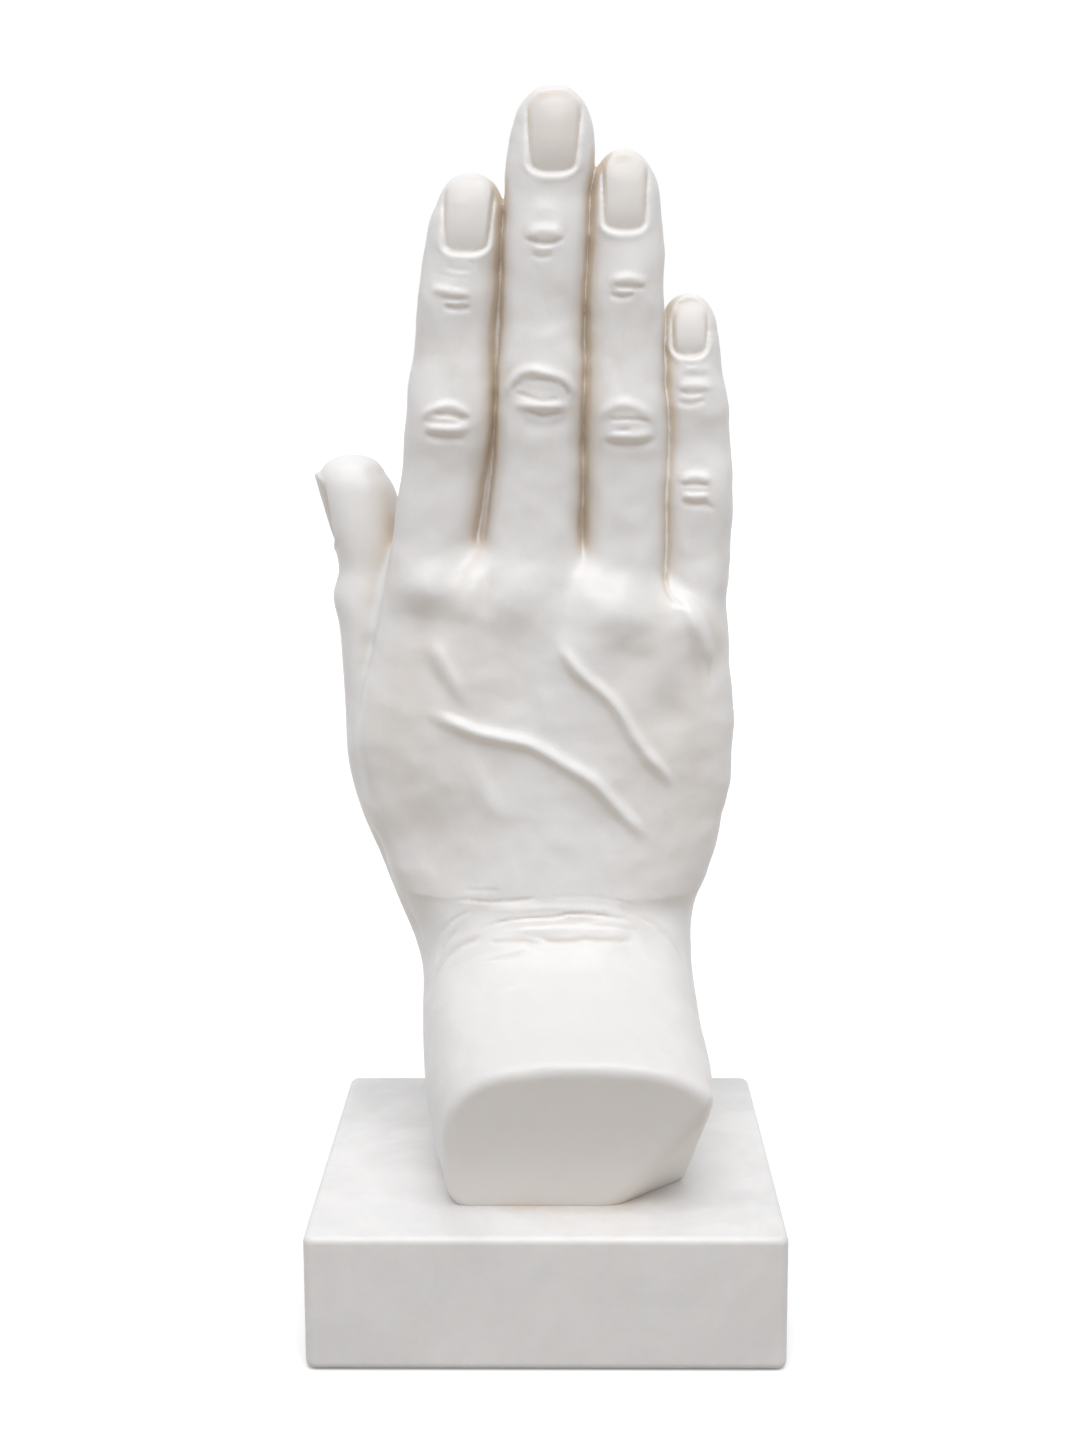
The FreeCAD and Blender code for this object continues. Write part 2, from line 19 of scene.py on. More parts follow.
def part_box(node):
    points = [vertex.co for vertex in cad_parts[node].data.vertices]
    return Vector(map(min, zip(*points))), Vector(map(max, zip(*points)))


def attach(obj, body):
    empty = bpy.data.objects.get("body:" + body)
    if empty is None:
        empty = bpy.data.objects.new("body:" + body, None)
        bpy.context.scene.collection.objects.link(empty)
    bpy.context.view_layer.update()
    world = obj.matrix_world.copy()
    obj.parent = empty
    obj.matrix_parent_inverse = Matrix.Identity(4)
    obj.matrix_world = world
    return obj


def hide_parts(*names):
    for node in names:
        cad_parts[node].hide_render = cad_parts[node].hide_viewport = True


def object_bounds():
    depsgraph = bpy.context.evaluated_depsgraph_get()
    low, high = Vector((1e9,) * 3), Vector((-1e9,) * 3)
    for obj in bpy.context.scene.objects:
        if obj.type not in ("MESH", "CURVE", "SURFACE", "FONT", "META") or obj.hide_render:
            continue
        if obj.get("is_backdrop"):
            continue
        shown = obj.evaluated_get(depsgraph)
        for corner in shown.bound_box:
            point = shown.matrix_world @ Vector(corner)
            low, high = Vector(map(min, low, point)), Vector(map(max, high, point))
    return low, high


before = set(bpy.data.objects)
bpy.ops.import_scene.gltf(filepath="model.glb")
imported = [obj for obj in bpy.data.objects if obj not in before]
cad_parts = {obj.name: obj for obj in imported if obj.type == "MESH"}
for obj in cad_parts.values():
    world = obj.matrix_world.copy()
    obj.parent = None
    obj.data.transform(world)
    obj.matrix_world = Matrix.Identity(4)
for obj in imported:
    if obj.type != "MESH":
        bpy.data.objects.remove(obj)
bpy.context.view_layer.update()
MM = 0.001


def placed(name, data):
    """A new object in the scene."""
    thing = bpy.data.objects.new(name, data)
    bpy.context.scene.collection.objects.link(thing)
    return thing


def apply_modifiers(thing):
    """Makes the mesh that the modifiers show the object's own."""
    mesh = bpy.data.meshes.new_from_object(thing.evaluated_get(bpy.context.evaluated_depsgraph_get()))
    thing.modifiers.clear()
    thing.data = mesh
    print(thing.name, "has", sum(len(face.vertices) - 2 for face in mesh.polygons), "triangles")
    return mesh


# %% [markdown]
# ## Camera
#
# The photograph was taken with a normal lens from above the wrist, looking slightly down. The camera below
# stands in the same place. Its lens follows from the focal length in pixels, because the long side of the
# sensor stands for the long side of the picture. It is turned to the left, tilted down from upright, and
# then rolled.

# %% Camera
image_height_px = 1448
focal_length_px = 2059.9
sensor_long_side_mm = 36.0
plinth_foot_mm = 0.3
camera_mm = (4.97, -471.62, 211.75 + plinth_foot_mm)
camera_down_deg = 9.379
camera_left_deg = 0.688
camera_roll_deg = -0.225

camera_data = bpy.data.cameras.new("camera")
camera_data.sensor_width = sensor_long_side_mm
camera_data.lens = focal_length_px / image_height_px * sensor_long_side_mm
camera_data.dof.use_dof = False
camera = placed("camera", camera_data)
camera.matrix_world = Matrix.Translation(Vector(camera_mm) * MM)
for turn_deg, axis in ((camera_left_deg, "Z"), (90 - camera_down_deg, "X"), (camera_roll_deg, "Z")):
    camera.matrix_world = camera.matrix_world @ Matrix.Rotation(math.radians(turn_deg), 4, axis)
bpy.context.scene.camera = camera
print("lens in mm:", round(camera_data.lens, 2))

# %% [markdown]
# ## Sculpting with distances
#
# A hand is hard to build from edges and faces, but easy to describe as a solid: a palm, five digits and
# pads of muscle that melt into each other. So it is first written as a distance field. Every point of a
# fine grid holds its distance to the surface in millimetres, below zero inside. Two solids are joined by
# taking the smaller distance, and where the two are nearly equal they are mixed, so that a soft web of
# flesh appears between them. A cut takes the larger distance in the same way. At the end one call turns the
# zero level of the grid into a mesh.

# %% The grid
cell = 0.42
grid_low = np.array([-61.0, -54.0, 27.0])
grid_high = np.array([50.0, 48.0, 284.0])
grid_counts = np.ceil((grid_high - grid_low) / cell).astype(int) + 1
axes = [(grid_low[k] + cell * np.arange(grid_counts[k])).astype(np.float32) for k in range(3)]
far_away = 12.0
least_slope = 0.02
field = np.full(grid_counts, far_away, np.float32)
print("grid:", grid_counts, "cells of", cell, "mm")


# %% Helpers for the grid
def block(low, high):
    """The part of the grid between two corners, and its coordinates shaped so that they broadcast."""
    cut = []
    for k in range(3):
        first = int(np.clip((low[k] - grid_low[k]) // cell, 0, grid_counts[k] - 2))
        last = int(np.clip((high[k] - grid_low[k]) // cell + 2, first + 2, grid_counts[k]))
        cut.append(slice(first, last))
    x, y, z = (axes[k][cut[k]] for k in range(3))
    return tuple(cut), x[:, None, None], y[None, :, None], z[None, None, :]


def soft_min(a, b, blend):
    share = np.clip(0.5 + 0.5 * (b - a) / blend, 0, 1)
    return b * (1 - share) + a * share - blend * share * (1 - share)


def soft_max(a, b, blend):
    return -soft_min(-a, -b, blend)


def smooth_step(share):
    """Eases a share in and out between nought and one."""
    return share * share * (3 - 2 * share)


def through(stations, values, at):
    """A smooth curve through given values, held level past both ends."""
    stations = np.asarray(stations, float)
    values = np.asarray(values, float)
    slopes = np.gradient(values, stations)
    at = np.clip(at, stations[0], stations[-1])
    k = np.clip(np.searchsorted(stations, at) - 1, 0, len(stations) - 2)
    span = stations[k + 1] - stations[k]
    t = (at - stations[k]) / span
    rise = values[k + 1] - values[k]
    a, b = slopes[k] * span - rise, rise - slopes[k + 1] * span
    return ((1 - t) * values[k] + t * values[k + 1] + t * (1 - t) * ((1 - t) * a + t * b)).astype(np.float32)


def true_distance(level):
    """Scales a field whose zero level is right so that it also measures millimetres near that level."""
    slope = np.sqrt(sum(g * g for g in np.gradient(level, cell)))
    return np.clip(level / np.maximum(slope, least_slope), -far_away, far_away)


def off_middle(values, low, high):
    """How far values lie from the middle between two edges, where the edges themselves count as one."""
    return np.abs(values - (low + high) / 2) / ((high - low) / 2)


def rounded_level(across, deep, past_end, square):
    """Zero on the skin of a column with rounded sections, which an end cap closes."""
    return (across ** square + deep ** square + past_end ** square) ** (1 / square) - 1


# %% [markdown]
# ## Palm, wrist and forearm
#
# These three are one body that bends back at the wrist, and it is easiest to describe unbent. `bent_place`
# unrolls space about the wrist line: above it the coordinate `run` is plain height, through the bend it is
# an angle times a radius, and past the bend it follows the forearm. `behind` counts from the front skin to
# the palm side. Each row of the table is then a plain cross section, set from the outline of the real
# hand.

# %% Bent coordinates
wrist_line_y = -12.0
wrist_line_z = 92.51
stub_dip_deg = 18.0
bend = math.radians(90 - stub_dip_deg)
bend_radius = 30.0
bend_run = bend * bend_radius


def bent_place(y, z):
    """How far along the body a point lies, and how far behind the wrist line."""
    dy, dz = y - wrist_line_y, z - wrist_line_z
    forward = -dy * math.sin(bend) - dz * math.cos(bend)
    outward = dy * math.cos(bend) - dz * math.sin(bend)
    angle = np.arctan2(-dz, dy)
    run = np.where(dz >= 0, dz, np.where(forward > 0, -bend_run - forward, -angle * bend_radius))
    behind = np.where(dz >= 0, dy, np.where(forward > 0, outward, np.hypot(dy, dz)))
    return run, behind


# %% Palm, wrist and forearm sections
# Columns: run, left edge, right edge, back skin, palm skin, squareness on the back, and on the palm side
body_rows = np.array([
    (-87.6, -22.4, 39.2, 13.8, 57, 2.8, 4.6),
    (-77.6, -22.8, 39, 13.8, 57, 2.8, 4.6),
    (-55.6, -27.4, 37.8, 13.4, 60.5, 2.8, 4),
    (-45, -28.8, 36.8, 11.6, 62.4, 2.8, 3.5),
    (-35.6, -29.6, 36, 9.4, 63.2, 2.8, 3.2),
    (-18.8, -30.6, 34.8, 7.4, 57.4, 2.6, 2.6),
    (-4.4, -35.2, 35.4, 7.4, 48.9, 2.4, 2.4),
    (3.6, -38.2, 38.6, 7.7, 42.5, 2.35, 2.35),
    (13.6, -40.6, 41, 8.1, 39, 2.3, 2.3),
    (25.6, -43.2, 43.4, 8.2, 36, 2.2, 2.3),
    (36.6, -44.6, 44.2, 8.2, 35, 2.2, 2.3),
    (46.6, -43.4, 44, 8.4, 34.8, 2.2, 2.3),
    (57.6, -40.8, 43, 8.4, 35.8, 2.2, 2.3),
    (67.6, -38.4, 42.2, 8.4, 36.6, 2.2, 2.3),
    (77.6, -36.6, 42, 8.6, 36, 2.2, 2.3),
])
palm_end_run = 63.6
palm_end_length = 18.0
palm_end_drop = 0.12


def body_level(x, y, z):
    run, behind = bent_place(y, z)
    left, right, back, palm, square, palm_square = (
        through(body_rows[:, 0], body_rows[:, k], run) for k in range(1, 7))
    square = np.where(behind > (back + palm) / 2, palm_square, square)
    past_end = np.maximum(run - palm_end_run + palm_end_drop * x, 0) / palm_end_length
    return rounded_level(off_middle(x, left, right), off_middle(behind, back, palm), past_end, square)


body_cut, X, Y, Z = block((-50, -54, 27), (50, 48, 184))
field[body_cut] = true_distance(body_level(X, Y, Z).astype(np.float32))
print("body done")

# %% [markdown]
# ## Muscle pads
#
# The pads are chains of balls whose sizes change from one to the next. The distance to such a chain has a
# simple formula: find the nearest point on each link, and take off the radius there.

# %% Muscle pads
link_blend = 2.0


def chain_distance(x, y, z, balls):
    """Distance to tapered rods through a chain of balls, each given as a centre and a radius."""
    best = None
    for (a, ra), (b, rb) in zip(balls, balls[1:]):
        a, b = np.array(a, float), np.array(b, float)
        axis = b - a
        ways = list(zip((x, y, z), a, axis))
        t = np.clip(sum((place - start) * step for place, start, step in ways) / (axis @ axis), 0, 1)
        d = np.sqrt(sum((place - start - t * step) ** 2 for place, start, step in ways))
        d = d - (ra + (rb - ra) * t)
        best = d if best is None else soft_min(best, d, link_blend)
    return best.astype(np.float32)


# Each pad: its part of the grid, how widely it blends with the palm, and its balls
pads = {
    "ball of the thumb": ((-60, -4, 40), (14, 54, 166), 6, [
        ((-35, 22, 130), 10), ((-28, 25.5, 112), 13.5), ((-21, 26.5, 92), 14.5),
        ((-11.5, 23, 70), 13.5)]),
    "edge of the hand": ((-16, -4, 38), (54, 54, 174), 6, [
        ((32, 17, 150), 8.5), ((29, 19, 130), 12.5), ((25, 21, 108), 14.5),
        ((17.5, 22, 84), 14.5), ((9, 19.5, 64), 13.5)]),
    "roots of the fingers": ((-46, -4, 136), (54, 46, 188), 5, [
        ((-22, 16, 162), 9.5), ((-2, 15.5, 164), 9.8), ((17, 16, 161), 9.4),
        ((31.5, 17, 155), 8)]),
}
for name, (low, high, blend, balls) in pads.items():
    cut, x, y, z = block(low, high)
    field[cut] = soft_min(field[cut], chain_distance(x, y, z, balls), blend)
    print("pad done:", name)

# %% [markdown]
# ## Digits
#
# A digit is a tapering column of rounded sections with a domed tip. Its table gives, from the tip down,
# where its edges and skins lie, so the bulges at the joints and the pads between them are all in the
# numbers. Fingers stand upright, so height itself runs along them. The last rows lie deep in the palm, so
# that no end of a column shows.

# %% Tables of the digits
# Each row: height, left edge, right edge, back skin, pad skin
digits = {
    "index": dict(tip=259.5, dome=11.5, square=2.15, rows=[
        (252, -25.4, -8.8, 4.8, 20), (245, -27.1, -9.8, 3.6, 21), (232, -29, -10.9, 2.4, 18.9),
        (219, -30.7, -11.8, 2.8, 20.9), (205, -32.2, -12, 0.2, 18.7), (190, -33.9, -14, 1.4, 21.5),
        (179, -35.6, -15.9, 1.2, 21.4), (168, -37.2, -17.4, 1.4, 23), (156, -36.6, -19, 4, 24),
        (144, -33, -20, 9, 19), (134, -30, -23, 11, 16)]),
    "middle": dict(tip=278.6, dome=12.5, square=2.15, rows=[
        (270, -7.4, 11.3, 4.6, 18.4), (262, -8.6, 11.4, 3.3, 19.6), (256, -9, 10.5, 2.6, 19.8),
        (243, -9.4, 9.7, 0.9, 17.8), (228, -9.9, 9.1, 1, 20.1), (210, -10.8, 8.7, -1.8, 17.6),
        (192, -12.1, 8.6, -1, 21.2), (180, -13.6, 8.4, -1.6, 20.8), (168, -14.2, 8.3, -1.4, 22.5),
        (156, -13, 7, 2, 24), (144, -11, 5, 9, 19), (134, -8, 2, 11, 16)]),
    "ring": dict(tip=264.5, dome=12, square=2.15, rows=[
        (256, 10.2, 26.1, 5.2, 19.6), (247, 9.8, 26.9, 3.6, 20.8), (233, 9.2, 27.5, 2.2, 18.7),
        (220, 9, 27.4, 2.4, 20.8), (204, 8.7, 28, 0, 18.4), (190, 8.6, 28.4, 1.2, 21.4),
        (178, 8.4, 28.1, 1, 21.2), (166, 8.5, 27.8, 0.8, 23), (154, 10, 26.5, 4, 24),
        (142, 12, 24, 9.5, 19), (132, 15, 21, 11, 16)]),
    "little": dict(tip=232.5, dome=10, square=2.2, rows=[
        (224, 26.3, 39.9, 8.8, 21), (217, 26.1, 41, 7.4, 21.8), (209, 26.4, 42.2, 6, 20.4),
        (199, 26.7, 43, 6.4, 22), (187, 26.8, 43.5, 4.2, 20.4), (176, 26.6, 43.5, 4.8, 22.4),
        (164, 26.2, 42.6, 3.8, 23), (152, 26.8, 41, 5, 24), (140, 28, 38, 10, 19),
        (130, 31, 35, 12, 16)]),
    "thumb": dict(tip=195.4, dome=9.5, square=2.5, rows=[
        (191, -55.3, -38.2, 18.6, 37.4), (187, -54.6, -36.6, 18, 38), (180, -52.8, -34.8, 17, 38.6),
        (174, -51.2, -33.6, 16.6, 38.4), (168, -50.2, -32.6, 16.4, 37.2), (162, -51.5, -31.8, 15, 36.6),
        (155, -50.2, -31.2, 14, 36), (145, -49.4, -30.6, 13, 35.4), (134, -48.8, -29, 11.6, 35),
        (122, -48.2, -26.4, 10, 35), (110, -45, -22, 8, 36), (96, -38.4, -17, 9, 37),
        (80, -30, -13, 11, 33)]),
}

# %% Shape of a digit
digit_margin = 9


def digit_distance(tip, dome, square, rows):
    """The digit's own part of the grid and its distances there. A dome closes the column below the tip."""
    rows = np.array(rows[::-1], float)
    low = (rows[:, 1].min() - digit_margin, rows[:, 3].min() - digit_margin, rows[0, 0])
    high = (rows[:, 2].max() + digit_margin, rows[:, 4].max() + digit_margin, tip + digit_margin)
    cut, x, y, z = block(low, high)
    left, right, back, pad = (through(rows[:, 0], rows[:, k], z) for k in range(1, 5))
    above = np.maximum(z - (tip - dome), 0) / dome
    level = rounded_level(off_middle(x, left, right), off_middle(y, back, pad), above, square)
    return cut, true_distance(level.astype(np.float32))


# %% [markdown]
# ## Nails
#
# A carved nail is a thin curved plate in a pocket, flatter than the finger under it. The pocket shows as a
# narrow groove along both sides. At the root the skin overlaps the plate, and that step catches the light
# as the bright rim of the cuticle. So within a nail's outline the field is swapped for the plate's own
# distance, and just outside it a groove is sunk and a lip is raised. Both fade out towards the free edge.

# %% Nails
# Middle and half width of the plate at its root and end, the heights of both, how far the root's corners rise
# and the end's corners fall, how dark the plate is, and how deep its middle line lies at some heights
nails = {
    "index": dict(root=(-17.9, 4.3), end=(-16.8, 5.3), heights=(241.4, 258.3), corners=(1, 2.3), shade=0.4,
                  line=[(241, 4.3), (245, 3.75), (250, 4.2), (254, 5.3), (257, 6.9), (259, 8.8)]),
    "middle": dict(root=(1.8, 4.6), end=(2.4, 5.8), heights=(258.9, 277), corners=(1.1, 2.2), shade=1.15,
                   line=[(258, 3.9), (263, 3.3), (268, 3.9), (272, 5), (275, 6.5), (278, 9)]),
    "ring": dict(root=(18.1, 4.1), end=(18.3, 4.7), heights=(246.2, 263), corners=(0.9, 1.8), shade=0.75,
                 line=[(245, 4.5), (250, 4), (255, 4.8), (259, 6.1), (262, 7.9), (264, 9.8)]),
    "little": dict(root=(33.2, 3.35), end=(33.3, 3.75), heights=(218.4, 231.2), corners=(1, 1.8), shade=0.45,
                   line=[(218, 8.6), (221, 8.2), (225, 8.9), (229, 10.6), (232, 12.8)]),
}
crown_radius = 11.0
edge_width = 0.75
groove_out, groove_width, groove_depth = 0.3, 0.5, 0.55
lip_out, lip_width, lip_height = 1.5, 0.9, 0.3
fade_length = 3.5
depth_reach, depth_fade = 3.0, 1.5
nail_widening = 0.7
root_corner_blend, end_corner_blend = 1.1, 1.2
side_lip_share, root_lip_fade = 0.15, 1.6


def nail_cover(x, y, z, nail):
    """How far a place lies before the plate, how much the plate covers it, and how far out and up it lies."""
    (root_x, root_half), (end_x, end_half), (root_z, end_z) = nail["root"], nail["end"], nail["heights"]
    share = np.clip((z - root_z) / (end_z - root_z), 0, 1)
    middle = root_x + (end_x - root_x) * share
    half = root_half + (end_half - root_half) * share ** nail_widening
    aside = (x - middle) / half
    line = np.array(nail["line"])
    plate = through(line[:, 0], line[:, 1], z) + (x - middle) ** 2 / (2 * crown_radius) - y
    to_root = root_z + nail["corners"][0] * np.abs(aside) ** 3 - z
    to_end = z - end_z + nail["corners"][1] * aside ** 2
    seam = soft_max(np.abs(x - middle) - half, to_root, root_corner_blend)
    near = np.clip((plate + depth_reach) / depth_fade, 0, 1)
    inside = np.clip(0.5 - soft_max(seam, to_end, end_corner_blend) / edge_width, 0, 1)
    return plate, smooth_step(inside) * near, seam, to_end, near


def with_nail(values, x, y, z, nail):
    """Lays a nail's plate into a part of the field, with a groove and a lip of skin round it."""
    plate, cover, seam, to_end, near = nail_cover(x, y, z, nail)
    beside = np.clip(-to_end / fade_length, 0, 1)
    groove = groove_depth * np.exp(-((seam - groove_out) / groove_width) ** 2)
    lip = lip_height * np.exp(-((seam - lip_out) / lip_width) ** 2)
    at_root = np.clip(root_lip_fade - (z - nail["heights"][0]) / fade_length, 0, 1)
    lip = lip * (side_lip_share + (1 - side_lip_share) * at_root)
    return (values + (plate - values) * cover + (groove - lip) * beside * near).astype(np.float32)


# %% [markdown]
# ## Fingers
#
# The fingers touch, and the body between them is whole behind narrow slits. They are first joined to each
# other and to a thin rod behind each slit, with a tight blend that keeps the slits crisp, and then to the
# palm with a wide one that makes the webs.

# %% Fingers and slits
finger_blend = 1.1
slit_blend = 1.6
palm_blend = 4.0
slit_margin = 8
slit_depths = (2, 24)

fingers = np.full(grid_counts, far_away, np.float32)
for name in ("middle", "index", "ring", "little"):
    cut, distance = digit_distance(**digits[name])
    fingers[cut] = soft_min(fingers[cut], distance, finger_blend)
slits = [
    [((-15.6, 12.9, 160), 4.2), ((-12, 12.8, 205), 3.5), ((-9.4, 13, 248), 2.6)],
    [((8, 12.4, 160), 4.1), ((8.6, 12.1, 205), 3.3), ((9.8, 12.8, 252), 2.6)],
    [((27.6, 14.4, 152), 4.2), ((27.6, 14.6, 200), 3.6), ((27.6, 15.2, 224), 2.6)],
]
for slit in slits:
    (ax, ay, az), (bx, by, bz) = slit[0][0], slit[-1][0]
    cut, x, y, z = block((min(ax, bx) - slit_margin, slit_depths[0], az - slit_margin),
                         (max(ax, bx) + slit_margin, slit_depths[1], bz + slit_margin))
    fingers[cut] = soft_min(fingers[cut], chain_distance(x, y, z, slit), slit_blend)
field = soft_min(field, fingers, palm_blend)
del fingers
print("fingers done")

# %% [markdown]
# ## Thumb
#
# The thumb stands behind the palm and shows its side, so its nail faces left. It is made with x and y
# exchanged, by the same function as the other nails.

# %% Thumb
thumb_blend = 4.0
thumb_nail = dict(root=(27.6, 5.6), end=(27.8, 6.8), heights=(174.6, 191.2), corners=(1.2, 1.6), shade=1.15,
                  line=[(174, -50.9), (177, -52), (181, -53.2), (186, -54.6), (192, -56.2)])
cut, distance = digit_distance(**digits["thumb"])
x, y, z = (axes[k][cut[k]] for k in range(3))
distance = with_nail(distance, y[None, :, None], x[:, None, None], z[None, None, :], thumb_nail)
field[cut] = soft_min(field[cut], distance, thumb_blend)
print("thumb done")

# %% [markdown]
# ## Skin
#
# Everything finer is drawn on the skin of the back as on a map: how far right a point lies, and how high
# along the skin. Down to the wrist that height is plain height. Then it follows the skin round the bend and
# out along the forearm. A stroke on the map is a smooth line with a width and a height, and fades at both
# ends. It makes veins, tendons and folds. A crease is cut in and has faint lips. A mound is a round hill or
# hollow.

# %% The skin map
skin_bend_radius = 9.0
relief = 1.3
runs_between_points = 8
stroke_reach, lips_reach = 3, 6
lips_spread = 2.4
crease_share, crease_lips = 0.85, 0.35
map_x = axes[0]
map_z = np.arange(grid_low[2] - 20, grid_high[2], cell).astype(np.float32)
skin_map = np.zeros((len(map_x), len(map_z)), np.float32)
map_origin = np.zeros(2)


def skin_height(y, z):
    """Height along the skin of the back, and how far behind the wrist line a place lies."""
    run, behind = bent_place(y, z)
    share = skin_bend_radius / bend_radius
    height = np.where(run >= 0, run, np.where(run > -bend_run, run * share, run + bend_run * (1 - share)))
    return height + wrist_line_z, behind


def smooth_line(points):
    """A smooth line through a few points, as many short runs."""
    points = np.array(points, float) + map_origin
    at = np.arange(len(points))
    fine = np.linspace(0, len(points) - 1, runs_between_points * (len(points) - 1) + 1)
    return np.stack([through(at, points[:, k], fine) for k in range(2)], 1)


def stroke(width, height, *points, fade=0.25, lips=0.0):
    """Draws a ridge, or a groove if the height is below zero, along points of the skin map."""
    line = smooth_line(points)
    reach = width * (lips_reach if lips else stroke_reach)
    ix = slice(*np.searchsorted(map_x, (line[:, 0].min() - reach, line[:, 0].max() + reach)))
    iz = slice(*np.searchsorted(map_z, (line[:, 1].min() - reach, line[:, 1].max() + reach)))
    x, z = map_x[ix][:, None], map_z[iz][None, :]
    nearest = np.full((x.shape[0], z.shape[1]), 1e6)
    along = np.zeros_like(nearest)
    lengths = np.hypot(*np.diff(line, axis=0).T)
    starts = np.concatenate([[0], np.cumsum(lengths)])
    for k, length in enumerate(lengths):
        (ax, az), (bx, bz) = line[k], line[k + 1]
        t = np.clip(((x - ax) * (bx - ax) + (z - az) * (bz - az)) / max(length ** 2, 1e-9), 0, 1)
        d = np.hypot(x - ax - t * (bx - ax), z - az - t * (bz - az))
        closer = d < nearest
        nearest = np.where(closer, d, nearest)
        along = np.where(closer, (starts[k] + t * length) / starts[-1], along)
    window = smooth_step(np.clip(np.minimum(along, 1 - along) / fade, 0, 1))
    shape = np.exp(-(nearest / width) ** 2) - lips * np.exp(-(nearest / (lips_spread * width)) ** 2)
    skin_map[ix, iz] += (relief * height * window * shape).astype(np.float32)


def count_from(x, z):
    """Points that are given after this count from one place on the map."""
    map_origin[:] = x, z


def crease(width, depth, *points, fade=0.2):
    stroke(width, -crease_share * depth, *points, fade=fade, lips=crease_lips)


def mound(x, z, wide, tall, height):
    """Adds a round hill, or a hollow if the height is below zero."""
    x, z = map_origin + (x, z)
    hill = np.exp(-((map_x[:, None] - x) / wide) ** 2 - ((map_z[None, :] - z) / tall) ** 2)
    skin_map[:] += (height * hill).astype(np.float32)


# %% [markdown]
# The knuckles at the roots of the fingers are broad mounds with hollows between them. Tendons run from them
# towards the wrist, and two veins cross the back of the hand.

# %% Knuckles, tendons and veins
for x, z, wide, tall, height in (
        (-28.2, 166, 6, 5.4, 2), (-7.4, 164.8, 6, 6.6, 1.8), (16.4, 161.4, 5.6, 6, 1.6),
        (33.6, 157, 4.2, 5, 0.9), (27.4, 146.5, 3, 6, 0.4),
        (-27.4, 157.6, 6.6, 5, -0.8), (-21, 156, 4.4, 6, -0.6), (-13.6, 165, 3, 6, -0.9),
        (-5.4, 153.4, 7.4, 7, -0.9), (5, 163, 3.4, 8, -1.3), (20, 147.4, 6.2, 7.6, -1),
        (28.6, 136.6, 4.4, 6.4, -0.7), (35.6, 145.8, 3, 7.4, -0.8), (-27, 104.5, 10.5, 13, -2.9),
        (-6, 143, 8, 10, -0.8), (33, 112, 7, 14, -0.4), (-1.6, 179, 6.5, 9, -0.6),
        (16.2, 173, 5.6, 8, -0.7), (33.4, 168, 4.4, 7, -0.5), (-23, 177, 6, 8, -0.2)):
    mound(x, z, wide, tall, height)
stroke(2.6, 0.7, (-12.8, 173.5), (-15, 169.5), (-17.5, 164), (-19.4, 157), fade=0.35)
stroke(2.2, 1.1, (28.4, 164.6), (30.8, 162.2), (33.4, 160), (36.4, 153.6), (38.4, 145), fade=0.3)
crease(0.6, 0.5, (27.4, 169.5), (28, 165), (29.6, 162.6), (33.6, 160.8))
stroke(1.8, 0.7, (-26.8, 155), (-24.8, 151), (-21.3, 144.6), (-17.9, 137), fade=0.4)
stroke(2.6, -0.4, (-31.2, 157), (-29.4, 152.5), (-25.6, 145), (-21, 139.6), fade=0.4)
stroke(2.8, 0.6, (-19.6, 130.6), (-14.6, 120), (-8.6, 107.7), fade=0.4)
stroke(2.5, 0.35, (-4, 158), (-2, 146), (1, 132), fade=0.4)
stroke(1.6, 1.3, (-29.6, 138), (-22, 135.1), (-16.1, 132.8), (-10.3, 131.5), (-4.5, 130.2), (-1, 128.6),
        (4.8, 125.2), (10.6, 121.6), (14.1, 118), (17.6, 113.8), (21.1, 110.2), (25.4, 106.2), fade=0.18)
stroke(1.5, 1.25, (1.4, 155.5), (5.4, 149.8), (8.9, 145.6), (12.9, 142.4), (16.4, 138.6), (18.7, 134.9),
        (21.1, 130.8), (24, 126.8), (27, 123.3), (31, 117.5), fade=0.22)
crease(0.6, 0.2, (38.5, 152), (38.2, 146), (38.1, 140), fade=0.4)
print("highest and lowest on the map:", skin_map.max(), skin_map.min())

# %% [markdown]
# At each finger joint the skin folds. The middle joints show an arched fold above, one or two fine creases,
# and a fat lip below that throws the darkest shade. The joints near the nails are smaller and flatter. Each
# joint's points count from its own place.

# %% Folds at the middle joints
count_from(-22, 203)
mound(-0.2, 0.6, 6.2, 4.4, 0.35)
stroke(0.95, 0.6, (-6.6, 0.4), (-4.7, 2.9), (-0.4, 4.3), (2.7, 3.6), (6, 1.2))
crease(0.6, 0.7, (-3.6, 2.3), (0, 2.1), (2.4, 1.7), (5.2, 1))
crease(0.42, 0.55, (-6, 0.7), (-1.7, 0.5), (2.7, 0.2))
stroke(1, 0.65, (-6.4, -0.5), (-1.7, -1.1), (2.3, -1.1), (5.8, -0.1))
crease(0.9, 0.6, (-5.6, -2.2), (-1.7, -3), (1, -3), (4.2, -3.4))

count_from(-1, 209)
stroke(1.15, 0.8, (-7.3, -0.6), (-6.9, 2.6), (-5.2, 5.1), (-2.2, 6), (0.4, 5.6), (3.2, 5),
        (5.6, 4), (7.5, 1.6), (7.6, -1))
crease(0.45, 0.35, (-3.2, 3.7), (0.9, 3.8), (4.6, 3))
crease(0.6, 0.4, (-6.2, 0.9), (-5.9, 2.2), (-4.2, 3.4))
crease(0.45, 0.5, (4.6, 3), (5.8, 1.7), (6.6, 0.1))
crease(0.4, 0.6, (-6.6, 0.9), (-4.4, 0.8), (-2.2, 0), (0.5, -0.8), (2.6, -0.5), (5.6, -0.5))
stroke(1.15, 0.8, (-7.2, -1.2), (-4.2, -1.6), (0.6, -2), (4.9, -1.9), (7.4, -1.4))
crease(0.6, 0.75, (-3.8, -2.9), (-1.2, -3.6), (0.4, -4.2), (2.2, -3.8), (5.2, -3.2))
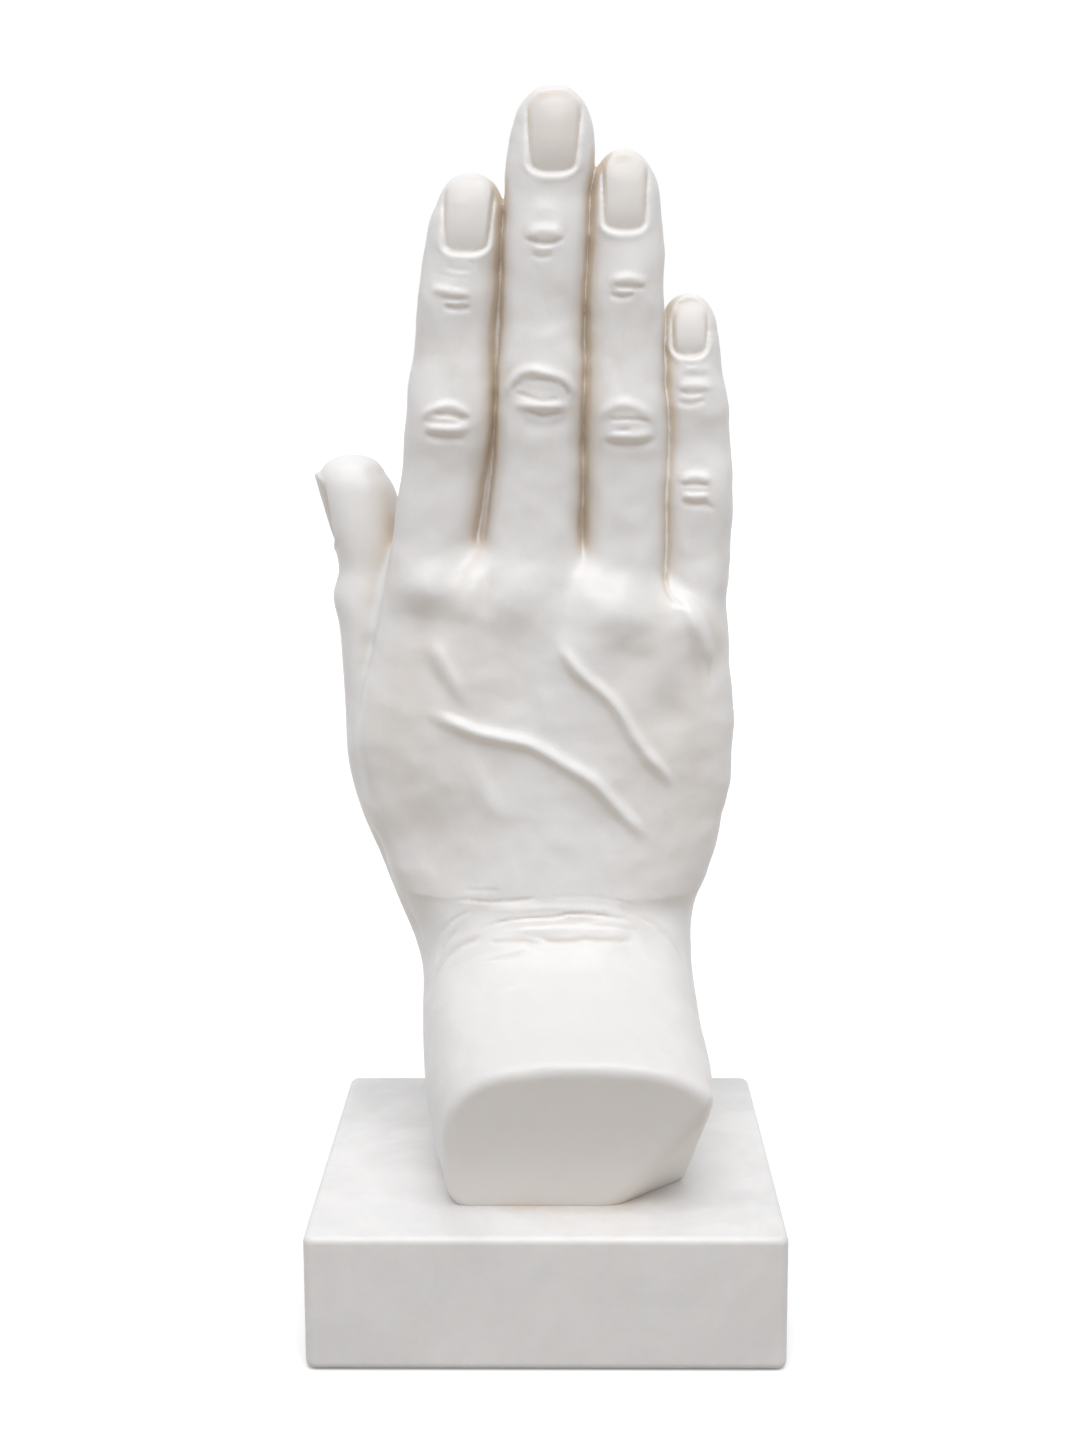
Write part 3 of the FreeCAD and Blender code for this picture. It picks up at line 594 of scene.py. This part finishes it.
stroke(1.8, -0.35, (-5, -5.2), (1, -6.2), (7, -5))

count_from(19, 202)
mound(-0.1, 1.4, 6.6, 5, 0.4)
stroke(1.25, 0.55, (-7.3, 1.4), (-4.6, 4.4), (-1.4, 5.4), (1.6, 4.8), (4.2, 3.3), (6.2, 0.8))
crease(0.42, 0.6, (-5.4, 1.9), (-2.3, 2), (0.8, 2), (3, 1.8), (5.3, 1.1))
crease(0.35, 0.3, (-5.2, -1.1), (-3.4, -0.6), (-1.8, -0.3))
crease(0.5, 0.5, (-2.8, -0.4), (-1, -0.5), (0.8, -0.4))
stroke(1.2, 0.55, (-6.3, -0.8), (-3.4, -1.7), (0, -1.9), (3.4, -1.7), (6.5, -0.7))
crease(1, 0.5, (-6.1, -2.4), (-3.4, -3.5), (0, -3.8), (3.4, -3.5), (6.7, -2.1))
mound(-0.1, -6.4, 4.6, 2.6, -0.45)

count_from(34, 187)
stroke(1, 0.55, (-3.8, 2.5), (-0.7, 3.8), (2.2, 3.7), (4.7, 2.3))
crease(0.42, 0.55, (-3.5, 2.1), (-1.5, 2.1), (0.3, 2.1), (4.1, 1.8))
crease(0.36, 0.45, (-2.7, 0.5), (0.4, 0.4), (4.3, 0.5))
stroke(0.9, 0.55, (-3.2, -0.4), (0.4, -0.7), (4.1, -0.4))
crease(0.75, 0.6, (-3.1, -1.7), (0, -2.5), (2.8, -2.5), (5, -4.1))

# %% Folds at the end joints
count_from(-20, 233)
stroke(1, 0.55, (-6.6, 0.7), (-3, -0.1), (0.4, -0.8), (4, -0.9))
crease(0.34, 0.4, (-3.9, -1.7), (0.2, -2.1), (3.5, -1.9))
stroke(0.5, 0.25, (-3.2, -2.7), (0.2, -3), (3, -2.7))
crease(0.65, 0.6, (-3.1, -3.7), (0.4, -4.2), (3.6, -3.9))
crease(0.34, 0.28, (-0.9, 6.6), (2.3, 6.6), (4, 5.7))
crease(0.4, 0.3, (-2.6, 5.4), (0.5, 4.4), (4.1, 4.4))
crease(0.34, 0.16, (-6, 4), (-2.9, 3.4), (-0.8, 2.9), (4.5, 2.5))

count_from(0, 243)
stroke(1.4, 0.55, (-4.8, 1.8), (-0.2, 2.9), (4.8, 2.1))
crease(0.55, 0.65, (-4.9, 1.3), (-0.3, 0), (2.2, 0.2), (4.9, 1.4))
stroke(0.6, 0.3, (-2.9, -0.9), (-0.3, -1.2), (2.2, -0.9))
crease(0.5, 0.4, (-3, -2.3), (-0.6, -3), (2.2, -2.6))
mound(1.2, 10, 4, 2.6, -0.35)

count_from(19, 233)
stroke(1.1, 0.55, (-5.2, 1.5), (-0.1, 2.4), (4.8, 1.3))
crease(0.5, 0.55, (-3.7, 0.8), (-0.1, 0.3), (4.3, 0.4))
stroke(0.4, 0.2, (-3.4, -0.3), (-0.5, -0.6), (1.6, -0.4))
crease(0.6, 0.6, (-4.5, -1), (-1.8, -1.8), (1.5, -1.1))

count_from(34, 212)
crease(0.36, 0.32, (-2.8, 4.9), (-0.8, 4.2), (1.2, 4.8))
stroke(0.8, 0.2, (-3.6, 3), (0, 3.3), (5, 3.1))
crease(0.6, 0.25, (-2.6, 1.8), (0.5, 1.7), (3.8, 1.9))
stroke(0.9, 0.5, (-4.2, -0.8), (-0.1, -0.4), (5.1, -0.9))
crease(0.45, 0.5, (-3.4, -1.9), (-0.1, -2.4), (2.6, -2.1))
crease(0.7, 0.5, (-4.1, -3.9), (-1, -4.7), (3.1, -3.7))

# %% [markdown]
# Where the hand bends back, the skin of the wrist gathers in a fan of fine folds.

# %% Folds of the wrist
count_from(0, 0)
crease(0.36, 0.35, (-19.8, 95.1), (-15, 95.3), (-10.2, 95.4))
crease(0.38, 0.5, (-23, 91.6), (-19.6, 92.7), (-12.8, 92.6), (-4.8, 93.3), (-0.3, 93.9))
crease(0.36, 0.22, (-1, 93.8), (9.9, 94), (18.5, 92.3), (23, 90.6))
crease(0.36, 0.4, (-17, 90.4), (-20.3, 89.4), (-23.3, 88.1), (-26, 86.6))
crease(0.4, 0.45, (-20.8, 87), (-23.5, 85.6), (-26.5, 83.6))
crease(0.6, 0.8, (-28.6, 81.5), (-26.6, 82.6), (-23.5, 83.6), (-20, 84.1), (-14.8, 84.6))
crease(0.42, 0.65, (-16.4, 85.7), (-11.7, 87.3), (-6, 88.1), (2, 88.7), (5.4, 89.5), (11.1, 89.4),
        (14.5, 88.9), (21, 87.9))
crease(0.36, 0.35, (9.8, 86), (14.6, 86.1), (22.2, 86.2))
crease(0.36, 0.25, (-7.2, 85.5), (-2.6, 85.9), (1.2, 86.3))
crease(0.4, 0.5, (-14.2, 83.5), (-10.1, 82.7), (-4.9, 82.4), (0.4, 81.5))
crease(0.45, 0.75, (-3.2, 83.7), (0.8, 82.6), (5.4, 82.4), (8.8, 82.8), (12.3, 82.7), (16.8, 83.1),
        (20.8, 83.9))
crease(0.42, 0.55, (-16, 79.2), (-11.7, 79), (-7.7, 79.2), (-3.2, 80.7))
crease(0.4, 0.3, (-4.6, 82.3), (-2, 80.9), (1.4, 79.8))
crease(0.6, 0.22, (-17, 69.3), (-11.3, 68.2), (-6.9, 68.6), (-1.8, 69.3))
crease(0.42, 0.45, (25.4, 87.2), (29.8, 85.7), (31.6, 84.6), (33.4, 83))
crease(0.36, 0.3, (21.4, 89), (26.1, 87.6), (30.2, 86.2))
stroke(1.3, 0.3, (-17, 90), (0, 91.2), (20, 90.2))
stroke(1, 0.25, (-12, 84.8), (4, 85), (21, 85.2))
stroke(1.2, 0.3, (-16, 81.2), (5, 80.4), (22, 81.4))
stroke(2.4, -0.35, (-14, 77), (4, 74.5), (24, 76.5))
print("strokes done")

# %% [markdown]
# Carved skin is never quite even. Two layers of smooth random waves, one as wide as a fingertip and one
# finer, are laid over the whole map. They come from random numbers with a fixed seed, smoothed in the
# frequency domain.

# %% Uneven skin
wave_band = 0.5


def waves(length_mm, height_mm, seed):
    """Smooth random waves of about one length over the skin map."""
    numbers = np.random.default_rng(seed).standard_normal(skin_map.shape)
    fx = np.fft.fftfreq(skin_map.shape[0], cell)[:, None]
    fz = np.fft.fftfreq(skin_map.shape[1], cell)[None, :]
    kept = np.exp(-((np.hypot(fx, fz) * length_mm - 1) / wave_band) ** 2)
    smooth = np.fft.ifft2(np.fft.fft2(numbers) * kept).real
    return (smooth / smooth.std() * height_mm).astype(np.float32)


skin_map += waves(length_mm=17, height_mm=0.13, seed=3) + waves(length_mm=7, height_mm=0.045, seed=8)

# %% Laying the skin map on the field
skin_depth = 27.0
skin_fade = 4.0
nail_margin = 4
nail_depths = (0, 14)

y, z = axes[1][:, None], axes[2][None, :]
height, behind = skin_height(y, z)
place = np.clip((height - map_z[0]) / cell, 0, len(map_z) - 2)
lower = place.astype(int)
part = (place - lower).astype(np.float32)
near_skin = np.clip((skin_depth - behind) / skin_fade + 0.5, 0, 1).astype(np.float32)
for k in range(len(map_x)):
    row = skin_map[k]
    field[k] -= (row[lower] * (1 - part) + row[lower + 1] * part) * near_skin
for nail in nails.values():
    middle, half = nail["end"]
    root_z, end_z = nail["heights"]
    cut, x, y, z = block((middle - half - nail_margin, nail_depths[0], root_z - nail_margin),
                         (middle + half + nail_margin, nail_depths[1], end_z + nail_margin))
    field[cut] = with_nail(field[cut], x, y, z, nail)
print("skin and nails done")

# %% [markdown]
# ## Cuts
#
# The forearm ends in a sawn face with a softened edge. Two slanted facets take off its lower right corner,
# and the plinth's top cuts the foot flat. The sole is sunk a little into the plinth, so that no light shows
# through.

# %% Cuts
plinth_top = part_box("plinth")[1].z / MM
sole_sunk = 0.3
stub_length = 40.74
facets = (((15.5, -34.8, plinth_top), (32.0, -18.4, plinth_top), (36.7, -43.1, plinth_top + 25.7)),
          ((32, -18.4, plinth_top), (38.6, -18, plinth_top + 27.3), (36.7, -43.1, plinth_top + 25.7)))
face_edge_round = 3.0
facet_edge_round = 2.0
foot_edge_round = 0.3

_, X, Y, Z = block(grid_low, grid_high)
run_forward = -(Y - wrist_line_y) * math.sin(bend) - (Z - wrist_line_z) * math.cos(bend)
for k in range(len(map_x)):
    field[k] = soft_max(field[k], (run_forward - stub_length)[0], face_edge_round)
    for near, far, corner in np.array(facets):
        outward = np.cross(near - corner, far - corner)
        outward /= np.linalg.norm(outward)
        past = (X[k] - near[0]) * outward[0] + (Y - near[1]) * outward[1] + (Z - near[2]) * outward[2]
        field[k] = soft_max(field[k], past[0].astype(np.float32), facet_edge_round)
    field[k] = soft_max(field[k], (plinth_top - sole_sunk - Z)[0], foot_edge_round)
print("cuts done")

# %% The mesh of the hand
cells_kept = 3.0


def field_mesh(name):
    """The zero level of the field as a mesh in metres. Only a few cells beside the skin matter to it."""
    grid = openvdb.FloatGrid(cells_kept)
    grid.copyFromArray(np.clip(field / cell, -cells_kept, cells_kept))
    points, quads = grid.convertToQuads(0.0)
    mesh = bpy.data.meshes.new(name)
    mesh.from_pydata((points * cell + grid_low) * MM, [], quads, shade_flat=False)
    return mesh


hand = placed("carved_hand", field_mesh("carved_hand"))
print("hand faces:", len(hand.data.polygons))

# %% [markdown]
# The grid gives the same small faces everywhere. Thinning merges them where the skin is smooth, so a fifth
# of them shows the same hand.

# %% Thinning
most_triangles = 188000
thinning = hand.modifiers.new("thinning", "DECIMATE")
thinning.ratio = min(1.0, most_triangles / (2 * len(hand.data.polygons)))
thinned = apply_modifiers(hand)
sole = [v.co / MM for v in thinned.vertices if v.co.z / MM < plinth_top + sole_sunk]
print("sole in mm, x and y:", [round(end(p[k] for p in sole), 1) for k in range(2) for end in (min, max)])

# %% [markdown]
# Shade gathers in the crevices of a carving, and here it is painted into the colour. The field tells where
# these are: a step out from flat skin gains as much distance as a step in loses, and in a crevice it gains
# less. The shortfall is stored at each vertex for steps of three lengths, and the material reads it as a warm
# painted shade.

# %% Crevices
tiny = 0.001


def sampled(places):
    """The field at places in millimetres, read between its cells."""
    at = np.clip((places - grid_low) / cell, 0, grid_counts - 1 - tiny)
    base = at.astype(int)
    part = at - base
    value = np.zeros(len(places))
    for corner in range(8):
        step = np.array([corner & 1, corner >> 1 & 1, corner >> 2 & 1])
        weight = np.prod(np.where(step, part, 1 - part), axis=1)
        value += weight * field[tuple((base + step).T)]
    return value


def store(name, values):
    """Keeps one number for each vertex of the hand."""
    thinned.attributes.new(name, "FLOAT", "POINT").data.foreach_set("value", values.astype(np.float32))
    print(name, "mean", round(float(values.mean()), 3), "most", round(float(values.max()), 3))


places = np.array([vertex.co for vertex in thinned.vertices]) / MM
normals = np.array([vertex.normal for vertex in thinned.vertices])
for name, step in (("crevice_fine", 1.5), ("crevice_deep", 4.0), ("hollow", 9.0)):
    both_ways = sampled(places + normals * step) + sampled(places - normals * step)
    store(name, np.clip(-both_ways / step, 0, 1))
across, deep, high = places.T
store("nail", np.max([nail_cover(across, deep, high, nail)[1] * nail["shade"] for nail in nails.values()]
                     + [nail_cover(deep, across, high, thumb_nail)[1] * thumb_nail["shade"]], axis=0))


# %% [markdown]
# ## Materials
#
# Every material is grown from noise on object coordinates, so it has no seams and needs no pictures. A
# `Nodes` object holds a node tree and has short ways to add to it. Most of them return the socket that the
# next one reads.

# %% Node helpers
class Nodes:
    """A node tree with short ways to add to it."""

    def __init__(self, tree):
        self.tree = tree

    def new(self, kind):
        return self.tree.nodes.new(kind)

    def put(self, value, socket):
        """Links a socket to another, or sets it to a constant."""
        if isinstance(value, bpy.types.NodeSocket):
            self.tree.links.new(value, socket)
        else:
            socket.default_value = value

    def spread(self, value, low, high, to_low=0.0, to_high=1.0):
        """Maps one range of values onto another, and holds it there."""
        node = self.new("ShaderNodeMapRange")
        for socket, number in zip(node.inputs[:5], (value, low, high, to_low, to_high)):
            self.put(number, socket)
        return node.outputs[0]

    def maths(self, way, first, second=0.5):
        node = self.new("ShaderNodeMath")
        node.operation = way
        self.put(first, node.inputs[0])
        self.put(second, node.inputs[1])
        return node.outputs[0]

    def times(self, product, *others):
        for other in others:
            product = self.maths("MULTIPLY", product, other)
        return product

    def parts(self, vector):
        """The x, y and z of a vector."""
        node = self.new("ShaderNodeSeparateXYZ")
        self.put(vector, node.inputs[0])
        return node.outputs[:]

    def seen_by_eye(self):
        """One where the camera looks straight, in a mirror or through glass, and zero for other light."""
        rays = self.new("ShaderNodeLightPath").outputs
        by_eye = self.maths("MAXIMUM", rays["Is Camera Ray"], rays["Is Glossy Ray"])
        return self.maths("MAXIMUM", by_eye, rays["Is Transmission Ray"])


class Finish(Nodes):
    """A material whose patterns lie on object coordinates."""

    def __init__(self, name):
        self.material = bpy.data.materials.new(name)
        self.material.use_nodes = True
        super().__init__(self.material.node_tree)
        self.shader = self.tree.nodes["Principled BSDF"]
        self.place = self.new("ShaderNodeTexCoord").outputs["Object"]

    def give(self, name, value):
        """Sets one input of the shader."""
        self.put(value, self.shader.inputs[name])

    def noise(self, per_metre, detail=4.0, roughness=0.55, swirl=0.0, place=None):
        node = self.new("ShaderNodeTexNoise")
        for name, value in (("Vector", place or self.place), ("Scale", per_metre), ("Detail", detail),
                            ("Roughness", roughness), ("Distortion", swirl)):
            self.put(value, node.inputs[name])
        return node.outputs[0]

    def measure(self, name):
        """An attribute that is stored on the mesh."""
        node = self.new("ShaderNodeAttribute")
        node.attribute_name = name
        return node.outputs["Fac"]

    def layered(self, color, *layers):
        """Lays tints over a colour, each with the share of it that shows."""
        for share, tint in layers:
            node = self.new("ShaderNodeMix")
            node.data_type = "RGBA"
            self.put(share, node.inputs[0])
            for socket, part in ((node.inputs[6], color), (node.inputs[7], tint)):
                self.put(part if isinstance(part, bpy.types.NodeSocket) else (*part, 1), socket)
            color = node.outputs[2]
        return color

    def bumps(self, *heights):
        """Lays bumps over each other, each a height socket with its size in millimetres."""
        normal = None
        for height, size_mm in heights:
            node = self.new("ShaderNodeBump")
            node.inputs["Distance"].default_value = size_mm * MM
            self.put(height, node.inputs["Height"])
            if normal:
                self.put(normal, node.inputs["Normal"])
            normal = node.outputs[0]
        self.give("Normal", normal)


# %% [markdown]
# The hand and the plinth are of one pale body. It is white with faint grey clouds and a few warm stains,
# satin rather than glossy, and a little light passes under its surface. The hand is cleaner, and a warm
# painted shade darkens its crevices, hollows and undersides.

# %% Pale body
def pale_body(name, white, grey, cloud_share, stain_share):
    """A clouded white body, and its colour so far."""
    body = Finish(name)
    wide = body.spread(body.noise(16, 5, 0.6, 1.6), 0.44, 0.66, 0, cloud_share)
    small = body.spread(body.noise(85, 6, 0.65, 0.8), 0.42, 0.72, 0, cloud_share * 0.6)
    stains = body.spread(body.noise(24, 3, 0.5, 0.4), 0.6, 0.78, 0, stain_share)
    body.give("Roughness", body.spread(body.noise(240, 5), 0.3, 0.7, 0.34, 0.5))
    body.give("Subsurface Weight", 0.3)
    body.give("Subsurface Radius", (1.0, 0.82, 0.62))
    body.give("Subsurface Scale", 3 * MM)
    return body, body.layered(white, (wide, grey), (small, grey), (stains, (0.83, 0.76, 0.68)))


# %% Hand finish
skin, color = pale_body("hand_ceramic", (0.86, 0.848, 0.843), (0.80, 0.788, 0.782), 0.5, 0.12)
x, y, z = skin.parts(skin.place)
_, facing_y, facing_z = skin.parts(skin.new("ShaderNodeTexCoord").outputs["Normal"])
nail, fine, deep, hollow = (skin.measure(name) for name in ("nail", "crevice_fine", "crevice_deep", "hollow"))
patchy = skin.spread(skin.noise(210, 4), 0.3, 0.62, 0.55, 1)
# Painted shade at the bottoms of the slits between the fingers.
slit_bottom_shade = skin.times(skin.spread(y, 0.0060, 0.0085), skin.spread(deep, 0.1, 0.4),
                          skin.spread(facing_y, -0.8, -0.2, 0.5, 0), skin.spread(x, -0.030, -0.024),
                          skin.spread(x, 0.0275, 0.0290, 1, 0))
# In order: nails, partly their own tint and partly painted shade; the stub and its cut face, darkened as
# painted shade; then painted shade on undersides, hollows, fine creases, crevices, the deepest crevices and
# the bottoms of the slits
skin.give("Base Color", skin.layered(
    color,
    (skin.times(nail, 0.8), (0.745, 0.705, 0.67)),
    (skin.spread(z, 0.074, 0.096, 0.75, 0), (0.765, 0.75, 0.74)),
    (skin.spread(facing_z, -0.5, -0.06, 0.75, 0), (0.77, 0.72, 0.665)),
    (skin.spread(hollow, 0.08, 0.5, 0, 0.45), (0.77, 0.725, 0.68)),
    (skin.times(skin.spread(fine, 0.12, 0.6, 0, 0.9), patchy, skin.spread(z, 0.098, 0.13, 0.4, 1)),
     (0.76, 0.68, 0.585)),
    (skin.times(skin.spread(deep, 0.1, 1, 0, 0.62), patchy), (0.70, 0.605, 0.495)),
    (skin.times(skin.spread(deep, 0.75, 1, 0, 0.15), patchy), (0.56, 0.44, 0.32)),
    (slit_bottom_shade, (0.48, 0.36, 0.25))))
skin.bumps((skin.noise(70, 3), 0.5), (skin.noise(420, 4), 0.05), (skin.noise(1900, 3), 0.012))

# %% [markdown]
# The plinth's sides are painted a little greyer than its top, as painted shade. Where the hand stands, a
# thin patchy beige rim is tinted into the top, drawn as a rounded square round the foot.

# %% Plinth finish
plinth, color = pale_body("plinth_stone", (0.84, 0.83, 0.828), (0.71, 0.705, 0.705), 0.8, 0.25)
foot_middle, foot_half = (5.0, -16.5), (21.5, 19.5)
x, y, z = plinth.parts(plinth.place)
squares = []
for along, middle, half in zip((x, y), foot_middle, foot_half):
    away = plinth.maths("DIVIDE", plinth.maths("SUBTRACT", along, middle * MM), half * MM)
    squares.append(plinth.maths("POWER", plinth.maths("ABSOLUTE", away), 3.0))
rim = plinth.times(plinth.spread(plinth.maths("ADD", *squares), 1.0, 1.9, 0.55, 0),
                   plinth.spread(plinth.noise(120, 4), 0.3, 0.65), plinth.spread(z, 0.029, 0.030))
facing_z = plinth.parts(plinth.new("ShaderNodeNewGeometry").outputs["True Normal"])[2]
# The sides are tinted greyer than the top as painted shade.
plinth.give("Base Color", plinth.layered(
    color, (plinth.spread(facing_z, 0.2, 0.9, 0.45, 0), (0.68, 0.66, 0.65)), (rim, (0.66, 0.56, 0.44))))
plinth.bumps((plinth.noise(45, 4), 0.25), (plinth.noise(500, 4), 0.05), (plinth.noise(2100, 3), 0.012))

# %% [markdown]
# The pieces that are hidden have plainer finishes, yet still show what they are made of when the part is
# taken apart: pressed wool, brushed steel with turning marks, brass that has dulled in blotches, and cork
# with its grains.

# %% Felt, metal and cork
felt = Finish("felt")
fuzz = felt.noise(900, 6, 0.7, 2.0)
felt.give("Base Color", felt.layered(
    (0.36, 0.35, 0.33), (felt.spread(felt.noise(60, 4), 0.35, 0.65), (0.47, 0.46, 0.43)),
    (felt.spread(fuzz, 0.45, 0.75, 0, 0.6), (0.56, 0.55, 0.52))))
felt.give("Roughness", felt.spread(fuzz, 0.3, 0.7, 0.88, 1))
felt.give("Sheen Weight", 0.3)
felt.bumps((fuzz, 0.25), (felt.noise(3200, 4), 0.06))


def turned_metal(name, bright, dull, blotches, least_rough, most_rough):
    """Metal with dull blotches and fine marks that run round the upright axis of its own object."""
    metal = Finish(name)
    stretch = metal.new("ShaderNodeMapping")
    metal.put(metal.place, stretch.inputs[0])
    stretch.inputs["Scale"].default_value = (1, 1, 30)
    marks = metal.noise(260, 4, 0.6, place=stretch.outputs[0])
    worn = metal.noise(180, 5, 0.6, 0.6)
    metal.give("Base Color", metal.layered(bright, (metal.spread(worn, 0.42, 0.7, 0, blotches), dull)))
    metal.give("Metallic", 1.0)
    metal.give("Roughness", metal.maths("ADD", metal.spread(marks, 0.3, 0.7, least_rough, most_rough),
                                        metal.spread(worn, 0.42, 0.7, 0, 0.12)))
    metal.bumps((marks, 0.02), (worn, 0.015))
    return metal


steel = turned_metal("steel", (0.62, 0.63, 0.64), (0.45, 0.45, 0.46), 0.5, 0.26, 0.42)
brass = turned_metal("brass", (0.78, 0.60, 0.32), (0.52, 0.38, 0.20), 0.6, 0.28, 0.46)

cork = Finish("cork")
cells = cork.new("ShaderNodeTexVoronoi")
cells.inputs["Scale"].default_value = 700
cork.put(cork.place, cells.inputs["Vector"])
grains = cells.outputs["Distance"]
cork.give("Base Color", cork.layered(
    (0.52, 0.35, 0.19), (cork.spread(cork.noise(420, 4), 0.3, 0.7), (0.72, 0.54, 0.34)),
    (cork.spread(grains, 0.45, 0.75, 0, 0.7), (0.30, 0.19, 0.10))))
cork.give("Roughness", cork.spread(grains, 0.2, 0.7, 0.75, 0.95))
cork.bumps((grains, 0.15), (cork.noise(1500, 3), 0.04))
print("materials:", len(bpy.data.materials))

# %% [markdown]
# ## Thread of the stud
#
# The stud's thread is a ridge that follows a spiral, so a Geometry Nodes tree draws it: a small diamond is
# swept along the spiral and joined to a plain core. The tree's sizes are named inputs. The result is kept
# as a plain mesh.

# %% Node tree of the thread
low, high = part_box("threaded_stud")
ridge_half = 0.48 * MM
stud_sizes = {"Length": high.z - low.z, "Core Radius": 3.45 * MM, "Ridge Half Height": ridge_half,
              "Ridge Path Radius": (high.x - low.x) / 2 - ridge_half, "Pitch": 1.25 * MM}
thread = Nodes(bpy.data.node_groups.new("stud_thread", "GeometryNodeTree"))
sockets = thread.tree.interface
sockets.new_socket("Geometry", in_out="INPUT", socket_type="NodeSocketGeometry")
sockets.new_socket("Geometry", in_out="OUTPUT", socket_type="NodeSocketGeometry")
for name in stud_sizes:
    sockets.new_socket(name, in_out="INPUT", socket_type="NodeSocketFloat")
given = thread.new("NodeGroupInput").outputs
spiral, upright, profile, sweep, core, lifted, raised, joined, realized, dressed = (
    thread.new("GeometryNode" + kind) for kind in (
        "CurveSpiral", "SetCurveNormal", "CurvePrimitiveCircle", "CurveToMesh", "MeshCylinder", "Transform",
        "Transform", "JoinGeometry", "RealizeInstances", "SetMaterial"))
upright.mode = "Z_UP"


def upward(height):
    node = thread.new("ShaderNodeCombineXYZ")
    thread.put(height, node.inputs["Z"])
    return node.outputs[0]


length, ridge, path_radius = given["Length"], given["Ridge Half Height"], given["Ridge Path Radius"]
run = thread.maths("SUBTRACT", length, thread.times(ridge, 2))
turns = thread.maths("DIVIDE", run, given["Pitch"])
for value, node, name in (
        (28, spiral, "Resolution"), (run, spiral, "Height"), (path_radius, spiral, "Start Radius"),
        (path_radius, spiral, "End Radius"), (turns, spiral, "Rotations"),
        (4, profile, "Resolution"), (ridge, profile, "Radius"),
        (48, core, "Vertices"), (given["Core Radius"], core, "Radius"), (length, core, "Depth"),
        (spiral.outputs[0], upright, "Curve"), (upright.outputs[0], sweep, "Curve"),
        (profile.outputs[0], sweep, "Profile Curve"), (True, sweep, "Fill Caps"),
        (sweep.outputs[0], lifted, "Geometry"), (upward(ridge), lifted, "Translation"),
        (core.outputs[0], raised, "Geometry"), (upward(thread.times(length, 0.5)), raised, "Translation"),
        (raised.outputs[0], joined, "Geometry"), (lifted.outputs[0], joined, "Geometry"),
        (joined.outputs[0], realized, "Geometry"), (realized.outputs[0], dressed, "Geometry"),
        (steel.material, dressed, "Material"),
        (dressed.outputs[0], thread.new("NodeGroupOutput"), "Geometry")):
    thread.put(value, node.inputs[name])

# %% Mesh of the thread
stud = placed("stud_thread", bpy.data.meshes.new("stud_thread_start"))
modifier = stud.modifiers.new("thread", "NODES")
modifier.node_group = thread.tree
for item in sockets.items_tree:
    if item.in_out == "INPUT" and item.name in stud_sizes:
        modifier[item.identifier] = stud_sizes[item.name]
threaded = apply_modifiers(stud)
shape = bmesh.new()
shape.from_mesh(threaded)
bmesh.ops.recalc_face_normals(shape, faces=shape.faces)
bmesh.ops.translate(shape, verts=shape.verts, vec=((low.x + high.x) / 2, (low.y + high.y) / 2, low.z))
open_edges = sum(not edge.is_manifold for edge in shape.edges)
shape.to_mesh(threaded)
shape.free()
print("open edges of the stud:", open_edges)
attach(stud, "root")
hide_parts("threaded_stud")

# %% [markdown]
# ## Dressing the pieces
#
# The carved hand and the threaded stud replace the plain solids. The other pieces keep the model's meshes
# and only get their finishes.

# %% Dressing the pieces
hand.data.materials.append(skin.material)
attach(hand, "root")
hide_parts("hand")
finishes = {"plinth": plinth, "felt_base": felt, "threaded_sleeve": brass, "cork_washer": cork,
            "steel_washer": steel, "hex_nut": steel, "locating_dowel": steel}
for name, finish in finishes.items():
    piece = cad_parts[name]
    piece.data.materials.clear()
    piece.data.materials.append(finish.material)
    print(name, "is of", finish.material.name)

# %% [markdown]
# ## Stage and light
#
# A wide soft source above and in front, with an even glow all round, leaves bright tops, soft grey fronts
# and darker sides, as in the photograph. The camera sees a white backdrop, also in mirrors, and it sees the
# floor paler than the object does, so that little light comes back up from below.

# %% Floor
floor_mesh = bpy.data.meshes.new("floor")
half = 30.0
corners = [(-half, -half, 0), (half, -half, 0), (half, half, 0), (-half, half, 0)]
floor_mesh.from_pydata(corners, [], [(0, 1, 2, 3)])
floor = placed("floor", floor_mesh)
paper = Finish("floor")
by_eye = paper.seen_by_eye()
paper.give("Roughness", paper.spread(paper.noise(3), 0.3, 0.7, 0.8, 0.9))
paper.give("Specular IOR Level", 0.0)
paper.give("Base Color", paper.layered((0.44, 0.42, 0.40), (by_eye, (0.98, 0.98, 0.98))))
paper.give("Emission Color", (1, 1, 1, 1))
paper.give("Emission Strength", paper.times(by_eye, 0.15))
floor.data.materials.append(paper.material)
floor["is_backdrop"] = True

# %% Sky and sun
studio_strength = 0.5
sun_strength = 1.95
sun_width_deg = 50
sun_from = Vector((0.02, -0.46, 1.0))

world = bpy.data.worlds.new("studio")
bpy.context.scene.world = world
world.use_nodes = True
sky = Nodes(world.node_tree)
glow, backdrop = world.node_tree.nodes["Background"], sky.new("ShaderNodeBackground")
choice = sky.new("ShaderNodeMixShader")
for value, socket in (
        ((0.985, 0.99, 1.0, 1), glow.inputs["Color"]), (studio_strength, glow.inputs["Strength"]),
        ((1, 1, 1, 1), backdrop.inputs["Color"]), (1.0, backdrop.inputs["Strength"]),
        (sky.seen_by_eye(), choice.inputs[0]), (glow.outputs[0], choice.inputs[1]),
        (backdrop.outputs[0], choice.inputs[2]),
        (choice.outputs[0], world.node_tree.nodes["World Output"].inputs[0])):
    sky.put(value, socket)

light_data = bpy.data.lights.new("overhead", "SUN")
light_data.energy = sun_strength
light_data.angle = math.radians(sun_width_deg)
light = placed("overhead", light_data)
light.rotation_euler = (-sun_from).to_track_quat("-Z", "Y").to_euler()
bpy.context.scene.view_settings.view_transform = "Standard"

# %% Finish
low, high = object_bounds()
print("visual box in mm:", [round(v / MM, 1) for v in (*low, *high)])
